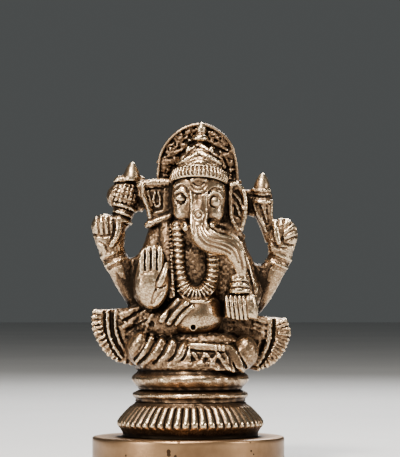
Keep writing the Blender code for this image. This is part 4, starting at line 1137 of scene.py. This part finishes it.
# from bare metal in the light to the black of thick patina and painted shade: place on the ramp, and colour
CAST_TONES = [(0.0, (0.78, 0.60, 0.39)), (0.15, (0.40, 0.275, 0.167)), (0.38, (0.215, 0.133, 0.075)),
    (0.62, (0.112, 0.069, 0.040)), (0.85, (0.042, 0.026, 0.016)), (1.0, (0.013, 0.009, 0.006))]
TURNED_TONES = [(0.0, (0.42, 0.26, 0.14)), (0.35, (0.24, 0.138, 0.07)), (0.65, (0.09, 0.05, 0.026)),
    (1.0, (0.02, 0.013, 0.008))]
STEEL_TONES = [(0.3, (0.5, 0.5, 0.5)), (0.7, (0.35, 0.35, 0.35))]
FLOOR_TONES = [(0.3, (0.54, 0.54, 0.545)), (0.7, (0.60, 0.60, 0.60))]


def antique_brass(name, hollow, deep, clean, rough_low, grain):
    """Brass with a dark patina in its hollows and painted shade where the idol's form closes round: how
    strongly relief draws the patina and form the painted shade, and their least amount.
    """
    made = Nodes(name)
    cloud = made.noise(260.0, 4.0)
    speck = made.noise(2600.0, 2.0)
    patina_and_shade = made.math("MULTIPLY", made.attribute("hollow"), hollow)
    # painted shade where the whole idol's form closes round the surface
    form = made.math("MULTIPLY", made.attribute("deep"), deep)
    patina_and_shade = made.math("ADD", made.math("ADD", patina_and_shade, form), clean)
    patina_and_shade = made.math("ADD", patina_and_shade, made.around(cloud, 0.5, 0.45))
    patina_and_shade = made.math("ADD", patina_and_shade, made.around(speck, 0.5, 1.1), clamp=True)
    rough = made.add("MapRange", {"Value": patina_and_shade, "To Min": rough_low, "To Max": 0.55})
    relief = made.math("ADD", made.noise(1500.0, 3.0), made.math("MULTIPLY", made.noise(420.0, 2.0), 0.8))
    bump = made.add("Bump", {"Height": relief, "Strength": grain, "Distance": 0.00009})
    return made.finish(made.ramp(patina_and_shade, CAST_TONES), rough, bump=bump)


def turned_brass(name):
    """Satin turned brass, a little clouded, with fine dark casting pits and painted shade where the idol's
    form closes round.
    """
    made = Nodes(name)
    cloud = made.noise(120.0, 5.0, 0.6)
    place = made.add("TexCoord", output="Object")
    pits = made.add("TexVoronoi", {"Vector": place, "Scale": 420.0}, output="Distance")
    hole = made.math("LESS_THAN", pits, made.math("SUBTRACT", made.noise(300.0, 1.0), 0.46))
    # painted shade where the whole idol's form closes round the surface
    deep = made.math("MULTIPLY", made.attribute("deep"), 1.1)
    patina_and_shade = made.math("ADD", deep, made.math("MULTIPLY", cloud, 0.6))
    patina_and_shade = made.math("ADD", patina_and_shade, made.math("MULTIPLY", hole, 0.6), clamp=True)
    rough = made.add("MapRange", {"Value": cloud, "To Min": 0.24, "To Max": 0.46})
    relief = made.math("SUBTRACT", made.math("MULTIPLY", made.noise(1800.0, 3.0), 0.6), hole)
    bump = made.add("Bump", {"Height": relief, "Strength": 0.35, "Distance": 0.00008})
    return made.finish(made.ramp(patina_and_shade, TURNED_TONES), rough, bump=bump)


def plain_steel(name):
    made = Nodes(name)
    return made.finish(made.ramp(made.noise(900.0), STEEL_TONES), 0.35)


def floor_paint(name):
    made = Nodes(name)
    return made.finish(made.ramp(made.noise(6.0, 4.0), FLOOR_TONES), 0.55, metallic=0.0)


# ---------------------------------------------------------------- assembly
def sculpt_idol():
    sculpt_seat()
    body = sculpt_torso()
    paunch = sculpt_belly()
    sculpt_legs()
    sculpt_fans()
    sculpt_drapes()
    head = sculpt_head()
    sculpt_trunk()
    sculpt_tusks()
    sculpt_ears()
    sculpt_crown()
    sculpt_halo()
    sculpt_front_arms()
    sculpt_rear_arms()
    sculpt_webs()
    sculpt_bangles()
    sculpt_raised_hands()
    sculpt_blessing_hand()
    sculpt_holding_hand()
    sculpt_bowl()
    sculpt_mace()
    sculpt_goad()
    sculpt_garland(body, paunch, head)
    sculpt_shawl(body)
    sculpt_sash(body, paunch)
    for i, clay in enumerate(CLAYS):
        clay.melt_into(CLAYS[:i])
    lathe_pedestal()


SLOTS = {part["node"]: part["material_slot"] for part in frame["record"]["subparts"]}
# how strongly relief draws the patina and form the painted shade, their least amount, the metal's roughness,
# and the grain
CAST_LOOKS = {
    "cast": (1.5, 1.0, 0.56, 0.23, 0.6),
    "worn": (1.4, 1.0, 0.41, 0.23, 0.5),
    # a lighter copy of cast brass, a painted highlight for pieces that catch the light
    "bright": (1.5, 0.9, 0.45, 0.27, 0.5),
    "rough": (1.3, 0.6, 0.62, 0.34, 0.8),
    "dark": (1.2, 0.7, 0.76, 0.30, 0.8),
}
FINISHES = {look: antique_brass("antique_brass_" + look, *values) for look, values in CAST_LOOKS.items()}
FINISHES["turned"] = turned_brass("turned_brass")
OWN_LOOKS = {
    "dark": ("halo", "arm_web_left", "arm_web_right", "seat_plate"),
    "rough": ("torso", "waist_drape_left", "waist_drape_right", "shawl_right"),
    # pieces that catch the light, given the lighter copy as a painted highlight
    "bright": ("mace_tip", "goad_tip", "crown_finial", "blessing_hand", "foot_left"),
}


def finish_of(node, slot):
    """A piece's own look, or else the one that its material slot begins with."""
    for look, nodes in OWN_LOOKS.items():
        if node in nodes:
            return FINISHES[look]
    return FINISHES[slot.split("_")[0]]


def show_pieces():
    """Meshes every sculpted and lathed part, lays the patina and the painted shade, and stands each for its
    CAD node.
    """
    made = [(source, source.mesh(source.node + "_form")) for source in CLAYS + LATHED]
    lay_patina_and_shade(made)
    for source, mesh in made:
        node = source.node
        piece = bpy.data.objects.new(node + "_form", mesh)
        bpy.context.scene.collection.objects.link(piece)
        slot = SLOTS[node]
        mesh.materials.append(finish_of(node, slot))
        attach(piece, "root")
        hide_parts(node)


# name, place, diameter, power and colour of each light, in metres and watts
LIGHTS = (
    ("key_above", (-0.18, -0.52, 0.62), 0.17, 13.0, (1.0, 0.95, 0.87)),
    ("top_soft", (0.0, -0.06, 0.70), 0.26, 5.0, (1.0, 0.96, 0.89)),
    ("fill_left", (-0.70, -0.45, 0.22), 0.20, 3.8, (1.0, 0.95, 0.88)),
    ("fill_right", (0.75, -0.30, 0.30), 0.20, 3.8, (1.0, 0.95, 0.88)),
    ("rim_back", (0.10, 0.50, 0.45), 0.35, 5.0, (1.0, 1.0, 1.0)),
)
# the camera, in metres from the idol's lower left corner and its middle
CAMERA_ACROSS, CAMERA_AWAY, CAMERA_HEIGHT, AIM_HEIGHT = 0.0327, 0.881, 0.055, 0.0707
FOCAL_LENGTH = 231.0


def soft_light(name, place, aim, size, watts, colour):
    light = bpy.data.lights.new(name, "AREA")
    light.shape, light.size, light.energy, light.color = "DISK", size, watts, colour
    made = bpy.data.objects.new(name, light)
    made.location = place
    made.rotation_euler = (Vector(aim) - Vector(place)).to_track_quat("-Z", "Y").to_euler()
    bpy.context.scene.collection.objects.link(made)


def set_stage():
    """A pale floor, a grey surround and soft lights, and the camera in front, a little below the middle."""
    low, high = (Vector(corner) for corner in CAD_BOX)
    middle = (low + high) / 2
    bpy.ops.mesh.primitive_plane_add(size=6.0, location=(middle.x, middle.y, low.z))
    floor = bpy.context.active_object
    floor.name = "floor"
    floor.data.materials.append(floor_paint("floor_pale"))

    world = bpy.data.worlds.new("surround")
    world.use_nodes = True
    world.node_tree.nodes["Background"].inputs["Color"].default_value = (0.075, 0.08, 0.08, 1.0)
    bpy.context.scene.world = world

    for name, place, size, watts, colour in LIGHTS:
        soft_light(name, place, middle, size, watts, colour)

    eye = Vector((low.x + CAMERA_ACROSS, middle.y - CAMERA_AWAY, low.z + CAMERA_HEIGHT))
    aim = Vector((low.x + CAMERA_ACROSS, middle.y, low.z + AIM_HEIGHT))
    lens = bpy.data.cameras.new("camera")
    lens.lens, lens.sensor_width = FOCAL_LENGTH, 36.0
    lens.clip_start, lens.clip_end = 0.01, 20.0
    camera = bpy.data.objects.new("camera", lens)
    camera.location = eye
    camera.rotation_euler = (aim - eye).to_track_quat("-Z", "Y").to_euler()
    bpy.context.scene.collection.objects.link(camera)
    bpy.context.scene.camera = camera


sculpt_idol()
show_pieces()
frame["nodes"]["fixing_pin"].data.materials.clear()
frame["nodes"]["fixing_pin"].data.materials.append(plain_steel("pin_steel_plain"))
set_stage()
